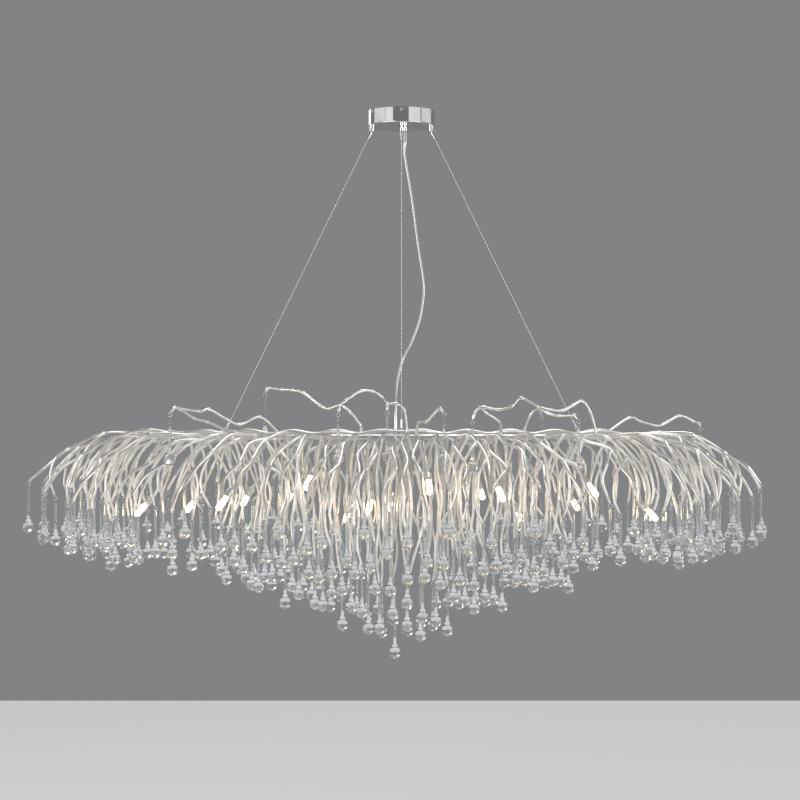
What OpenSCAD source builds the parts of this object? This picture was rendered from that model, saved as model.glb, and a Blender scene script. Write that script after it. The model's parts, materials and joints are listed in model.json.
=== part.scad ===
// Linear branch chandelier with hanging glass drops.
// Millimetres, +Z up. The origin is the middle of the ceiling bracket's upper face,
// +X runs along the length and the front of the chandelier faces -Y.

/* [Canopy] */
// Outer diameter of the ceiling canopy
canopy_d = 160; // [156:1:200]
// Height of the canopy
canopy_h = 38; // [34:1:60]
// Thickness of the canopy's sheet
canopy_wall = 1.2; // [1:0.1:2]
// Number of screws round the canopy's side
side_screw_count = 6; // [3:1:8]
// Diameter of the two ceiling screw holes
ceiling_hole_d = 5.5; // [4:0.5:6.5]
// Distance between the two ceiling screw holes
ceiling_hole_pitch = 110; // [90:1:120]
// Diameter of the hole for the supply cable
supply_hole_d = 24; // [14:1:28]

/* [Suspension] */
// Ceiling to the centre line of the spine's ring
hang_h = 788; // [700:1:1000]
// Distance of each outer wire's top from the middle
wire_top_x = 71; // [45:1:71]
// Distance of each outer wire's foot from the middle
wire_foot_x = 424; // [318:106:424]
// Diameter of the suspension wires
wire_d = 1.5; // [1:0.1:1.8]
// Diameter of the supply cord
cord_d = 6; // [5:0.5:6.5]

/* [Spine] */
// Length of the ring on its centre line
ring_l = 1098; // [1040:1:1200]
// Width of the ring on its centre line
ring_w = 70; // [70:1:90]
// Diameter of the ring's round bar
bar_d = 12; // [10:0.5:13]
// Diameter of the cross bars
crossbar_d = 7.6; // [6:0.2:8]
// Distance between cross bars
crossbar_pitch = 106; // [80:1:128]
// Diameter of the wavy runners on the spine
runner_d = 5.6; // [4:0.2:6]

/* [Branches] */
// Number of upright planes that hold one branch with its twigs
plane_count = 72; // [60:1:72]
// Length over the outermost twig ends
reach_l = 1772; // [1500:1:2200]
// Depth over the outermost twig ends
reach_w = 564; // [540:1:700]
// Diameter of the branches
branch_d = 6.8; // [5:0.1:6.8]
// Diameter of the twigs
twig_d = 5.6; // [4.5:0.1:5.6]
// Drop from the spine to the outermost twig ends
edge_drop = 117; // [100:1:160]
// Extra depth of the thicket at its two ends
end_dip = 105; // [90:1:120]
// Further depth of the thicket at its middle
middle_dip = 190; // [120:1:210]
// Scatter of the twig ends' heights
tip_scatter = 22; // [10:1:26]

/* [Glass drops] */
// Diameter of the glass ball
ball_d = 29; // [20:0.5:29]
// Diameter of the glass stem
stem_d = 6.4; // [5:0.1:6.8]
// Link's lower wire to the centre of the ball
drop_l = 98; // [80:1:110]
// Mean diameter of a wire link
link_d = 9; // [8.6:0.1:10]
// Diameter of the link's wire
link_wire_d = 1; // [0.8:0.1:1]
// Outer diameter of the eye at each twig's end
eye_d = 6.4; // [6:0.1:6.8]
// Thickness of the eyes
eye_w = 3; // [2.4:0.1:3.2]

/* [Lamps] */
// Diameter of the lamp sockets
socket_d = 17; // [15.4:0.1:17]
// Length of the lamp sockets
socket_l = 24; // [20:1:24]
// Diameter of the capsule bulbs
bulb_d = 13; // [12:0.1:13]
// Length of bulb outside the socket
bulb_l = 38; // [32:1:38]
// Diameter of the lamp arms
arm_d = 7; // [6:0.1:7]

/* [Hidden] */

// Fineness of round surfaces, and of the many small ones
round_fn = 64;
small_fn = 32;

// Gap where one piece seats on another, and the radial clearance of a pin or wire in its bore
seat = 0.3;
bore_gap = 0.2;

// Heights that follow from the sizes above
canopy_floor = -canopy_h;
swivel_z = canopy_floor - 9;
ring_z = -hang_h;
plate_top = ring_z + bar_d / 2 + 0.5;
plate_h = 4;
crossbar_up = 1.5;
anchor_z = plate_top + 12;
cord_top_x = 9.4;
gland_x = -14;

// Swivels between the canopy and what hangs from it
swivel_r = 3.6;
cup_r = swivel_r + seat;
cup_body_r = 6.2;
cup_body_h = 9.5;
bush_thread_r = 5;
bush_flange_r = 8;
centre_thread_r = 8.6;
centre_flange_r = 11;
bush_top = canopy_floor + 9;
nut_h = 5;

// Grippers, measured from the swivel's centre along the wire
barrel_r = 3.6;
barrel_from = 5.5;
barrel_to = 13;
plunger_r = 1.9;
plunger_from = 11;
ferrule_from = 15.4;
ferrule_to = 22;
press = 2;
anchor_r = 4.6;
anchor_bore_from = 12;
anchor_to = 24;

// Bracket inside the canopy
bracket_t = 2;
bracket_rim_h = 14;
bracket_r = canopy_d / 2 - canopy_wall - 2.6;
side_screw_z = -8;
side_screw_r = 1.8;

// Root points of the branches stand this far off the ring's bar
root_off = 5;
root_half_l = ring_l / 2 + bar_d / 2 + root_off;
root_half_w = ring_w / 2 + bar_d / 2 + root_off;
knuckle_r = root_off - seat;

// Shares of its plane's reach at which a branch and its three twigs end, and where each twig leaves
middle_shares = [[1, 0.74, 0.46, 0.18], [0.87, 0.60, 0.32, 0.06]];
end_shares = [[1, 0.82, 0.68, 0.56], [0.91, 0.75, 0.60, 0.45]];
end_limit = 0.72;
leave_at = [0, 0.66, 0.42, 0.20];
branch_lift = 0.17;
twig_lift = 0.13;
sway_size = 18;
shake_size = 8;
lean = [-12, 0];
group_size = plane_count / 12;

// Lamps as [plane, share of its reach, height of the socket's back below the ring]
lamps = [
    [37.4, 0.20, 142], [43.1, 0.40, 122], [48.1, 0.56, 72], [51.0, 0.20, 132],
    [54.7, 0.56, 82], [59.3, 0.28, 102], [64.0, 0.32, 92], [67.9, 0.20, 152],
    [29.7, 0.24, 142], [25.9, 0.52, 132], [20.4, 0.36, 172], [17.7, 0.20, 142],
    [11.4, 0.20, 112], [9.8, 0.52, 172], [24.1, 0.32, 122], [7.0, 0.52, 142]
];
lamp_pitch = 47;
knuckle_drop = 11;

// Top arches: points as [x, y, height above the ring's centre line]
// A foot stands on the ring's bar, and a rod that leaves another starts inside it.
arch_d = 6;
foot_up = bar_d / 2 + seat;
arch_ring_l = 1098;
arch_a = [
    [-299, 35, foot_up], [-299, 35, 14], [-337, 58, 48], [-384, 78, 31], [-414, 92, 44], [-453, 112, 67],
    [-473, 130, 62], [-526, 180, 72], [-534, 188, 62]
];
arch_a_low = [
    [-398, 35, foot_up], [-398, 35, 14], [-424, 60, 20], [-457, 100, 37], [-487, 132, 47], [-510, 162, 66],
    [-521, 175, 70]
];
arch_b = [
    [-98, -35, foot_up], [-98, -35, 24], [-126, -58, 60], [-152, -70, 76], [-180, -82, 68],
    [-202, -90, 76], [-242, -108, 106], [-272, -122, 114], [-300, -134, 116], [-333, -152, 120],
    [-340, -157, 110]
];
arch_c = [
    [14, 35, foot_up], [14, 35, 14], [7, 44, 64], [-11, 50, 79], [-32, 54, 81], [-46, 70, 96],
    [-66, 84, 109], [-96, 96, 110], [-132, 114, 87], [-146, 127, 72], [-148, 129, 62]
];
arch_c_spur = [[-32, 54, 81], [-33, 60, 78], [-34, 64, 74], [-34, 65, 66]];
arch_d_pts = [
    [36, 35, foot_up], [36, 35, 14], [42, 54, 36], [60, 78, 38], [90, 104, 70], [98, 110, 62]
];
arch_e = [
    [238, 35, foot_up], [238, 35, 14], [234, 62, 36], [202, 84, 58], [184, 96, 70], [171, 94, 54],
    [169, 94, 44]
];
arch_f = [
    [184, 96, 70], [196, 98, 72], [230, 104, 66], [260, 104, 74], [283, 100, 94], [321, 96, 76],
    [356, 84, 66], [384, 76, 64], [408, 68, 76], [432, 58, 86], [452, 46, 60], [466, 35, 16],
    [466, 35, foot_up]
];
arch_f_low = [[321, 96, 76], [326, 98, 72], [345, 104, 58], [370, 122, 52], [404, 148, 54], [411, 151, 46]];
arch_g = [
    [300, -35, foot_up], [300, -35, 14], [318, -62, 53], [336, -88, 66], [346, -110, 62], [348, -115, 54]
];
arch_i = [
    [508, -35, foot_up], [508, -35, 14], [560, -58, 46], [590, -74, 36], [634, -96, 26],
    [660, -106, 35], [694, -120, 50], [730, -138, 36], [744, -148, 32], [748, -151, 24]
];

// Route of the supply cord, from the swivelling sleeve to the gland on the spine
cord_route = [
    [9.4, 0, -68], [9.4, 0, -76], [8, 4, -106], [24, 9, -203], [40, 12, -322], [53, 14, -407],
    [54, 14, -443], [46, 13, -498], [27, 12, -554], [4, 11, -600], [-8, 9, -646], [-12, 6, -678],
    [-13, 2, -706], [-14, 0, -731], [-14, 0, -738]
];
lead_route = [[9.4, 0, -28.7], [9.4, 0, -24], [13, 7, -16], [19, 15, -13], [24, 18, -12], [29.7, 18, -12]];
lead_d = 5;

// Repeatable scatter between -1 and 1, from golden-ratio steps
function jitter(i, k) = let (t = i * 0.7548776662 + k * 0.5698402910) 2 * (t - floor(t)) - 1;
function unit(v) = v / norm(v);

// Direction of plane j, in degrees from +X; the planes stand closer where the ring is straight
function heading(j) = let (a = 360 * (j + 0.5) / plane_count) a + 14.3 * sin(2 * a) + 1.7 * sin(4 * a);

// Point at a heading on a stadium outline of the given half length and half width
function stadium(h, half_l, half_w) =
    let (x = half_l * cos(h), over = max(0, abs(x) - (half_l - half_w)))
    [x, sign(sin(h)) * sqrt(max(half_w ^ 2 - over ^ 2, 0))];
function root_xy(h) = stadium(h, root_half_l, root_half_w);

// Point straight inward from a root point, on the ring's centre line
function ring_xy(h) =
    let (r = root_xy(h), core = [sign(r.x) * min(abs(r.x), ring_l / 2 - ring_w / 2), 0])
    r - unit(r - core) * (bar_d / 2 + root_off);

// Point in a plane at a share of the way from its root to its outermost reach
function reach_xy(h, share) =
    let (root = root_xy(h), far = [reach_l / 2 * cos(h), reach_w / 2 * sin(h)])
    root + (far - root + lean) * share;
function tip_at(h, share, i, k) =
    let (dip = end_dip + middle_dip * (1 - abs(cos(h))) ^ 2, p = reach_xy(h, share))
    [p.x, p.y, ring_z - edge_drop - (1 - share) * dip + tip_scatter * jitter(i, k)];
function shares(j) = (abs(sin(heading(j))) < end_limit ? end_shares : middle_shares)[j % 2];

// Bow of a limb at its middle: outward and up in its plane, and swayed sideways like its neighbours
function bow_of(a, b, lift, i, k) =
    let (chord = b - a, long = norm(chord), mid = (a + b) / 2, out = norm([chord.x, chord.y]),
         up = out < 1 ? [0, 0, 1] : unit([0.6 * chord.x / out, 0.6 * chord.y / out, 0.8]),
         sway = sway_size * sin(360 * (mid.z / 150 + mid.y / 210 + mid.x / 330)),
         raw = up * lift * long + [sway, 0, 0] + shake_size * [jitter(i, k), 0.4 * jitter(i, k + 1), 0],
         side = raw - unit(chord) * (raw * unit(chord)))
    side * max(norm(side), 5) / norm(side);

// A limb is an arc of a circle, kept as [start, end, bow]
function half_angle(l) = 2 * atan(2 * norm(l[2]) / norm(l[1] - l[0]));
function arc_r(l) = (norm(l[1] - l[0]) ^ 2 / 4 + norm(l[2]) ^ 2) / (2 * norm(l[2]));
function arc_centre(l) = (l[0] + l[1]) / 2 + unit(l[2]) * (norm(l[2]) - arc_r(l));
function on_arc(l, share) =
    let (a = half_angle(l) * (2 * share - 1))
    arc_centre(l) + arc_r(l) * (unit(l[1] - l[0]) * sin(a) + unit(l[2]) * cos(a));
function along_arc(l, share) =
    let (a = half_angle(l) * (2 * share - 1)) unit(l[1] - l[0]) * cos(a) - unit(l[2]) * sin(a);
function arc_l(l) = 2 * half_angle(l) * PI / 180 * arc_r(l);

// The branch of plane j and its three twigs
function branch_of(j) =
    let (h = heading(j), root = root_xy(h), a = [root.x, root.y, ring_z], b = tip_at(h, shares(j)[0], j, 1))
    [a, b, bow_of(a, b, branch_lift, j, 3)];
function twig_of(j, main, t) =
    let (a = on_arc(main, leave_at[t]), b = tip_at(heading(j), shares(j)[t], j, 5 + 6 * t))
    [a, b, bow_of(a, b, twig_lift, j, 11 + 7 * t)];
function limbs_of(j) = let (main = branch_of(j)) concat([main], [for (t = [1:3]) twig_of(j, main, t)]);

// Gap between a branch and the end face of a twig cut off at a share of its length
function weld_gap(main, twig, share) =
    let (p = on_arc(twig, share), z = unit(cross(main[2], main[1] - main[0])), v = p - arc_centre(main),
         flat = v - z * (v * z), near = unit(flat) * (arc_r(main) - norm(flat)) - z * (v * z),
         slope = unit(near) * along_arc(twig, share))
    norm(near) - branch_d / 2 - twig_d / 2 * sqrt(max(1 - slope ^ 2, 0));

// Length of a twig left off at its start, so that its end face is a weld's gap off the branch
function start_cut(main, twig, cut = 2) =
    weld_gap(main, twig, cut / arc_l(twig)) >= seat ? cut : start_cut(main, twig, cut + 0.3);

// Centre of the eye past the end of a rod, whose end face is square to the direction d
function eye_past(end, d) = end + d * (eye_d / 2 * sqrt(1 - d.x ^ 2) + eye_w / 2 * abs(d.x) + seat);
function eyes_of(j) = [for (l = limbs_of(j)) eye_past(l[1], along_arc(l, 1))];

// A link's wire runs through an eye this far below its centre, clear of the hole's edges
hole_d = link_wire_d + 2.4;
link_sag = hole_d / 2 - link_wire_d / 2 - seat - (link_d / 2 - sqrt((link_d / 2) ^ 2 - (eye_w / 2) ^ 2));
function pivot_of(eye) = eye - [0, 0, link_sag + link_d];

// An arch's points in the part's frame; its foot follows the ring's length and width
function arch_points(pts) =
    [for (p = pts) [p.x * ring_l / arch_ring_l, -p.y - sign(p.y) * (ring_w / 2 - 35), ring_z + p.z]];
function tip_eye(pts) = let (n = len(pts) - 1) eye_past(pts[n], unit(pts[n] - pts[n - 1]));
arch_tips = [arch_a, arch_b, arch_c, arch_c_spur, arch_d_pts, arch_e, arch_f_low, arch_g, arch_i];
arch_eyes = [for (a = arch_tips) tip_eye(arch_points(a))];

// Drops that swing on joints of their own, as [plane, limb]
swingers = [[0, 0], [36, 0], [47, 0], [51, 0], [55, 0], [59, 0]];
function swings(j, t) = len([for (s = swingers) if (s[0] == j && s[1] == t) 1]) > 0;
function swing_eye(i) = eyes_of(swingers[i][0])[swingers[i][1]];
function still_eyes(from, to) =
    [for (j = [from:to]) let (k = (j + plane_count) % plane_count, e = eyes_of(k))
        for (t = [0:3]) if (!swings(k, t)) e[t]];

// Smooth curve through points, with the given number of steps between neighbours
function curve(p, steps) =
    let (n = len(p) - 1)
    concat([for (i = [0:n - 1]) let (a = p[max(i - 1, 0)], b = p[i], c = p[i + 1], d = p[min(i + 2, n)])
        for (s = [0:steps - 1]) let (t = s / steps)
            b + 0.5 * t * (c - a + t * (2 * a - 5 * b + 4 * c - d + t * (3 * (b - c) + d - a)))], [p[n]]);
// The same with straight, square ends between the first two and the last two points
function square_ended(p, steps) =
    let (n = len(p) - 1) concat([p[0]], curve([for (i = [1:n - 1]) p[i]], steps), [p[n]]);
function heading_at(p, i) = let (n = len(p) - 1) unit(p[min(i + 1, n)] - p[max(i - 1, 0)]);

// Sideways directions carried along a curve, each kept square to it
function carried(p, i = 0, was = undef) =
    i == len(p) ? [] :
    let (d = heading_at(p, i), raw = is_undef(was) ? cross(d, abs(d.y) < 0.9 ? [0, 1, 0] : [1, 0, 0]) : was,
         now = unit(raw - d * (raw * d)))
    concat([now], carried(p, i + 1, now));

// One closed tube along a curve
module tube(p, r, sides) {
    side = carried(p);
    rings = len(p);
    points = [for (i = [0:rings - 1]) let (d = heading_at(p, i), up = cross(d, side[i]))
        for (k = [0:sides - 1]) p[i] + r * (cos(360 * k / sides) * side[i] + sin(360 * k / sides) * up)];
    walls = [for (i = [0:rings - 2]) for (k = [0:sides - 1])
        let (a = i * sides + k, b = i * sides + (k + 1) % sides)
        each [[a, a + sides, b], [b, a + sides, b + sides]]];
    caps = concat([[for (k = [0:sides - 1]) k]], [[for (k = [0:sides - 1]) rings * sides - 1 - k]]);
    polyhedron(points = points, faces = concat(walls, caps), convexity = 10);
}

// Puts its children with their Z axis along a direction
module aim(d) {
    rotate([0, acos(unit(d).z), atan2(d.y, d.x)]) children();
}

// One limb as an arc of round rod, less a length at its start
module limb(l, d, cut) {
    x = unit(l[2]);
    y = unit(l[1] - l[0]);
    z = cross(x, y);
    c = arc_centre(l);
    skip = cut / arc_r(l) * 180 / PI;
    multmatrix([[x.x, y.x, z.x, c.x], [x.y, y.y, z.y, c.y], [x.z, y.z, z.z, c.z], [0, 0, 0, 1]])
        rotate([0, 0, skip - half_angle(l)])
            rotate_extrude(angle = 2 * half_angle(l) - skip, $fn = 4 * small_fn)
                translate([arc_r(l), 0])
                    circle(d = d, $fn = small_fn);
}

module frond(j) {
    all = limbs_of(j);
    limb(all[0], branch_d, knuckle_r + seat);
    for (t = [1:3])
        limb(all[t], twig_d, start_cut(all[0], all[t]));
}

module branches(group) {
    color("gainsboro")
        for (i = [0:group_size - 1])
            frond((plane_count + group * group_size - group_size / 2 + i) % plane_count);
}

// A flat ring on edge, its hole along X
module eye() {
    rotate([0, 90, 0])
        difference() {
            cylinder(d = eye_d, h = eye_w, center = true, $fn = small_fn);
            cylinder(d = hole_d, h = eye_w + 2, center = true, $fn = small_fn);
        }
}

// A link of eight-sided wire in the XZ plane, its lower wire at the origin
module link() {
    translate([0, 0, link_d / 2])
        rotate([90, 0, 0])
            rotate_extrude($fn = small_fn)
                translate([link_d / 2, 0])
                    circle(d = link_wire_d, $fn = 8);
}

// A glass drop that hangs from a link's lower wire at the origin
module glass_drop() {
    neck_l = 18;
    flare_l = 7;
    flare_z = -drop_l + ball_d / 2 - 3;
    difference() {
        union() {
            translate([0, 0, -link_sag])
                rotate([0, 90, 0])
                    cylinder(d = eye_d + 0.4, h = eye_w, center = true, $fn = small_fn);
            translate([0, 0, flare_z + flare_l + neck_l])
                cylinder(d = stem_d, h = -flare_z - flare_l - neck_l - 3.4, $fn = small_fn);
            translate([0, 0, flare_z + flare_l])
                cylinder(d1 = stem_d + 2, d2 = stem_d, h = neck_l, $fn = small_fn);
            translate([0, 0, flare_z])
                cylinder(d1 = ball_d * 0.58, d2 = stem_d + 2, h = flare_l, $fn = small_fn);
            translate([0, 0, -drop_l])
                sphere(d = ball_d, $fn = small_fn);
        }
        translate([0, 0, -link_sag])
            rotate([0, 90, 0])
                cylinder(d = hole_d, h = 2 * stem_d, center = true, $fn = small_fn);
    }
}

module drops(eyes) {
    color("aliceblue")
        for (e = eyes)
            translate(pivot_of(e)) glass_drop();
}

module ceiling_bracket() {
    color("lightgray")
        difference() {
            translate([0, 0, -bracket_rim_h])
                cylinder(r = bracket_r, h = bracket_rim_h, $fn = round_fn);
            translate([0, 0, -bracket_rim_h - 1])
                cylinder(r = bracket_r - 2.2, h = bracket_rim_h + 1 - bracket_t, $fn = round_fn);
            translate([0, 0, -bracket_t - 1])
                cylinder(d = supply_hole_d, h = bracket_t + 2, $fn = round_fn);
            for (s = [-1, 1])
                translate([s * ceiling_hole_pitch / 2, 0, -bracket_t - 1])
                    cylinder(d = ceiling_hole_d, h = bracket_t + 2, $fn = small_fn);
            translate([-24, 18, -bracket_t - 1])
                cylinder(r = 2.2, h = bracket_t + 2, $fn = small_fn);
            for (k = [0:side_screw_count - 1])
                rotate([0, 0, 360 / side_screw_count * (k + 0.5)])
                    translate([bracket_r - 5, 0, side_screw_z])
                        rotate([0, 90, 0])
                            cylinder(r = side_screw_r + bore_gap, h = 10, $fn = small_fn);
        }
}

module earth_screw() {
    color("goldenrod")
        translate([-24, 18, 0]) {
            translate([0, 0, -bracket_t - seat - 3])
                cylinder(r = 4, h = 3, $fn = small_fn);
            translate([0, 0, -bracket_t - seat - 0.5])
                cylinder(r = 2, h = bracket_t + seat - 0.2 + 0.5, $fn = small_fn);
        }
}

// Three-way block that joins the supply cable to the canopy's lead
module terminal_block() {
    block = [24, 18, 18];
    color("white")
        difference() {
            translate([30, 9, -bracket_t - seat - block.z])
                cube(block);
            for (i = [0:2])
                translate([34 + 8 * i, 18, -bracket_t - seat - block.z - 1])
                    cylinder(r = 2, h = 7, $fn = small_fn);
        }
}

module canopy_shell() {
    r = canopy_d / 2;
    w = canopy_wall;
    soft = 1;
    color("silver")
        difference() {
            rotate_extrude($fn = 2 * round_fn)
                polygon([[0, canopy_floor], [r - soft, canopy_floor], [r, canopy_floor + soft], [r, -0.4],
                    [r - w, -0.4], [r - w, canopy_floor + w], [0, canopy_floor + w]]);
            for (s = [-1, 1])
                translate([s * wire_top_x, 0, canopy_floor - 1])
                    cylinder(r = bush_thread_r + seat, h = w + 2, $fn = small_fn);
            translate([cord_top_x / 2, 0, canopy_floor - 1])
                cylinder(r = centre_thread_r + seat, h = w + 2, $fn = small_fn);
            for (k = [0:side_screw_count - 1])
                rotate([0, 0, 360 / side_screw_count * (k + 0.5)])
                    translate([r - 5, 0, side_screw_z])
                        rotate([0, 90, 0])
                            cylinder(r = side_screw_r + seat, h = 10, $fn = small_fn);
        }
}

module canopy_screws() {
    color("silver")
        for (k = [0:side_screw_count - 1])
            rotate([0, 0, 360 / side_screw_count * (k + 0.5)])
                translate([canopy_d / 2 + seat, 0, side_screw_z])
                    rotate([0, 90, 0]) {
                        cylinder(r = 3.4, h = 1.8, $fn = small_fn);
                        translate([0, 0, -seat - canopy_wall - 5])
                            cylinder(r = side_screw_r, h = seat + canopy_wall + 5.4, $fn = small_fn);
                    }
}

// The cup that holds a swivel ball, open below
module cup_space(x, tail_r) {
    translate([x, 0, swivel_z])
        sphere(r = cup_r, $fn = round_fn);
    translate([x, 0, swivel_z])
        cylinder(r = tail_r, h = bush_top - swivel_z + 1, $fn = small_fn);
}

module side_bushes() {
    color("silver")
        for (s = [-1, 1])
            difference() {
                union() {
                    translate([s * wire_top_x, 0, canopy_floor - seat - 1])
                        cylinder(r = bush_thread_r, h = bush_top - canopy_floor + seat + 1, $fn = small_fn);
                    translate([s * wire_top_x, 0, canopy_floor - seat - 2.7])
                        cylinder(r = bush_flange_r, h = 2.7, $fn = round_fn);
                    translate([s * wire_top_x, 0, swivel_z - 2])
                        cylinder(r = cup_body_r, h = cup_body_h, $fn = round_fn);
                }
                cup_space(s * wire_top_x, 1.2);
            }
}

module centre_bush() {
    color("silver")
        difference() {
            union() {
                translate([cord_top_x / 2, 0, canopy_floor - seat - 1])
                    cylinder(r = centre_thread_r, h = bush_top - canopy_floor + seat + 1, $fn = round_fn);
                translate([cord_top_x / 2, 0, canopy_floor - seat - 2.7])
                    cylinder(r = centre_flange_r, h = 2.7, $fn = round_fn);
                for (x = [0, cord_top_x])
                    translate([x, 0, swivel_z - 2])
                        cylinder(r = cup_body_r - 0.6, h = cup_body_h, $fn = round_fn);
            }
            cup_space(0, 1.2);
            cup_space(cord_top_x, 2.2);
        }
}

module hex_nut(r, bore_r, h) {
    difference() {
        rotate([0, 0, 30])
            cylinder(r = r, h = h, $fn = 6);
        translate([0, 0, -1])
            cylinder(r = bore_r, h = h + 2, $fn = small_fn);
    }
}

module bush_nuts() {
    z = canopy_floor + canopy_wall + seat;
    color("silver") {
        for (s = [-1, 1])
            translate([s * wire_top_x, 0, z])
                rotate([0, 0, 30])
                    hex_nut(7.3, bush_thread_r + bore_gap, nut_h);
        translate([cord_top_x / 2, 0, z])
            hex_nut(12, centre_thread_r + bore_gap, nut_h);
    }
}

module canopy_lead() {
    color("white") tube(square_ended(lead_route, 3), lead_d / 2, 8);
}

// Swivel point and foot of each wire: left, centre, right
tops = [[-wire_top_x, 0, swivel_z], [0, 0, swivel_z], [wire_top_x, 0, swivel_z]];
feet = [[-wire_foot_x, 0, anchor_z], [0, 0, anchor_z], [wire_foot_x, 0, anchor_z]];

module wire_grippers() {
    color("silver")
        for (i = [0:2])
            translate(tops[i])
                aim(feet[i] - tops[i])
                    difference() {
                        union() {
                            sphere(r = swivel_r, $fn = round_fn);
                            cylinder(r = 1.7, h = barrel_from + 1, $fn = small_fn);
                            translate([0, 0, barrel_from])
                                cylinder(r = barrel_r, h = barrel_to - barrel_from, $fn = small_fn);
                            translate([0, 0, barrel_from + 3])
                                rotate([90, 0, i == 1 ? 0 : 90])
                                    cylinder(r = 1.3, h = 13.6, center = true, $fn = small_fn);
                        }
                        translate([0, 0, plunger_from - press - seat])
                            cylinder(r = plunger_r + seat, h = 20, $fn = small_fn);
                        translate([0, 0, barrel_from])
                            cylinder(r = wire_d / 2 + bore_gap, h = 20, $fn = small_fn);
                    }
}

module plunger(i) {
    color("silver")
        translate(tops[i])
            aim(feet[i] - tops[i])
                difference() {
                    union() {
                        translate([0, 0, plunger_from])
                            cylinder(r = plunger_r, h = ferrule_to - plunger_from, $fn = small_fn);
                        translate([0, 0, ferrule_from])
                            cylinder(r = 2.75, h = ferrule_to - ferrule_from, $fn = small_fn);
                    }
                    translate([0, 0, plunger_from - 1])
                        cylinder(r = wire_d / 2 + seat, h = 20, $fn = small_fn);
                }
}
module release_plunger_left() { plunger(0); }
module release_plunger_centre() { plunger(1); }
module release_plunger_right() { plunger(2); }

module wire(i) {
    d = feet[i] - tops[i];
    wire_l = norm(d) - barrel_from - anchor_bore_from - 2 * seat;
    color("lightgray")
        translate(tops[i])
            aim(d)
                translate([0, 0, barrel_from + seat])
                    cylinder(d = wire_d, h = wire_l, $fn = small_fn);
}
module wire_left() { wire(0); }
module wire_centre() { wire(1); }
module wire_right() { wire(2); }

// Stud, ball and ferrule at the foot of each wire; the middle stud reaches into the junction box
module wire_anchors() {
    stud_r = 3;
    stud_l = [plate_h - 0.5, plate_h + 6, plate_h - 0.5];
    color("silver")
        for (i = [0:2])
            difference() {
                union() {
                    translate([feet[i].x, 0, plate_top - stud_l[i]])
                        cylinder(r = stud_r, h = stud_l[i] + 2, $fn = small_fn);
                    translate([feet[i].x, 0, plate_top + seat])
                        cylinder(r = anchor_r + 0.6, h = 5, $fn = small_fn);
                    translate([feet[i].x, 0, plate_top + 4])
                        cylinder(r = stud_r, h = 6, $fn = small_fn);
                    translate(feet[i])
                        sphere(r = anchor_r, $fn = small_fn);
                    translate(feet[i])
                        aim(tops[i] - feet[i])
                            cylinder(r = 3, h = anchor_to, $fn = small_fn);
                }
                translate(feet[i])
                    aim(tops[i] - feet[i])
                        translate([0, 0, anchor_bore_from])
                            cylinder(r = wire_d / 2 + bore_gap, h = 20, $fn = small_fn);
            }
}

// Nuts inside the junction box, for the middle anchor and the gland
module box_nuts() {
    color("silver")
        for (x = [0, gland_x])
            translate([x, 0, box_top - box_wall - seat - 3])
                hex_nut(6, 3 + bore_gap, 3);
}

// Ball and sleeve that carry the cord's top end
module cord_sleeve() {
    sleeve_l = swivel_z - cord_route[0].z - seat;
    color("silver")
        translate([cord_top_x, 0, swivel_z]) {
            sphere(r = swivel_r, $fn = round_fn);
            translate([0, 0, -7])
                cylinder(r = 2.2, h = 6, $fn = small_fn);
            translate([0, 0, -sleeve_l])
                cylinder(r = 3.8, h = sleeve_l - 5.5, $fn = small_fn);
        }
}

module power_cord() {
    color("white") tube(square_ended(cord_route, 4), cord_d / 2, 10);
}

module cord_gland() {
    low = plate_top + seat;
    high = cord_route[len(cord_route) - 1].z - seat;
    color("silver")
        translate([gland_x, 0, 0]) {
            translate([0, 0, low])
                cylinder(r = 6, h = 6, $fn = small_fn);
            translate([0, 0, low + 6])
                cylinder(r = 4.6, h = high - low - 6, $fn = small_fn);
            translate([0, 0, low - 2 * seat - plate_h - 6])
                cylinder(r = 3, h = plate_h + 2 * seat + 7, $fn = small_fn);
        }
}

// The spine: a ring of round bar, cross bars, two pads and the middle plate, welded into one
module ring_bar() {
    straight = ring_l / 2 - ring_w / 2;
    for (s = [-1, 1])
        translate([-straight, s * ring_w / 2, ring_z])
            rotate([0, 90, 0])
                cylinder(d = bar_d, h = 2 * straight, $fn = small_fn);
    for (s = [0, 1])
        translate([(2 * s - 1) * straight, 0, ring_z])
            rotate([0, 0, 90 + 180 * s])
                rotate_extrude(angle = 180, $fn = 2 * round_fn)
                    translate([ring_w / 2, 0])
                        circle(d = bar_d, $fn = small_fn);
}

module cross_bars() {
    for (k = [-4, -3, -2, -1, 1, 2, 3, 4])
        translate([k * crossbar_pitch, 0, ring_z + crossbar_up])
            rotate([90, 0, 0])
                cylinder(d = crossbar_d, h = ring_w, center = true, $fn = small_fn);
}

module pads() {
    for (s = [-1, 1])
        translate([s * wire_foot_x, 0, plate_top - plate_h])
            cylinder(r = 11, h = plate_h, $fn = round_fn);
}

module middle_plate() {
    translate([-47, -ring_w / 2 + 4, plate_top - plate_h])
        cube([94, ring_w - 8, plate_h]);
}

module spine_frame() {
    color("gainsboro")
        difference() {
            union() {
                ring_bar();
                cross_bars();
                pads();
                middle_plate();
            }
            for (x = [-wire_foot_x, gland_x, 0, wire_foot_x])
                translate([x, 0, ring_z - bar_d])
                    cylinder(r = 3 + seat, h = 2 * bar_d, $fn = small_fn);
        }
}

// Wavy rods that lie on the cross bars
module spine_runners() {
    lift = crossbar_up + crossbar_d / 2 + seat + runner_d / 2;
    half = crossbar_pitch / 2;
    color("gainsboro")
        for (i = [0:3]) {
            y = [-26, -16, 16, 26][i];
            points = [for (k = [-10:10]) [
                k * half,
                y + 1.5 * jitter(k, i) * (k % 2 == 0 ? 0 : 1),
                ring_z + lift + (k == 0 ? 5 : k % 2 == 0 ? 0 : 7 + 3 * jitter(k, i + 4))]];
            tube(curve(points, 2), runner_d / 2, 8);
        }
}

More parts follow.
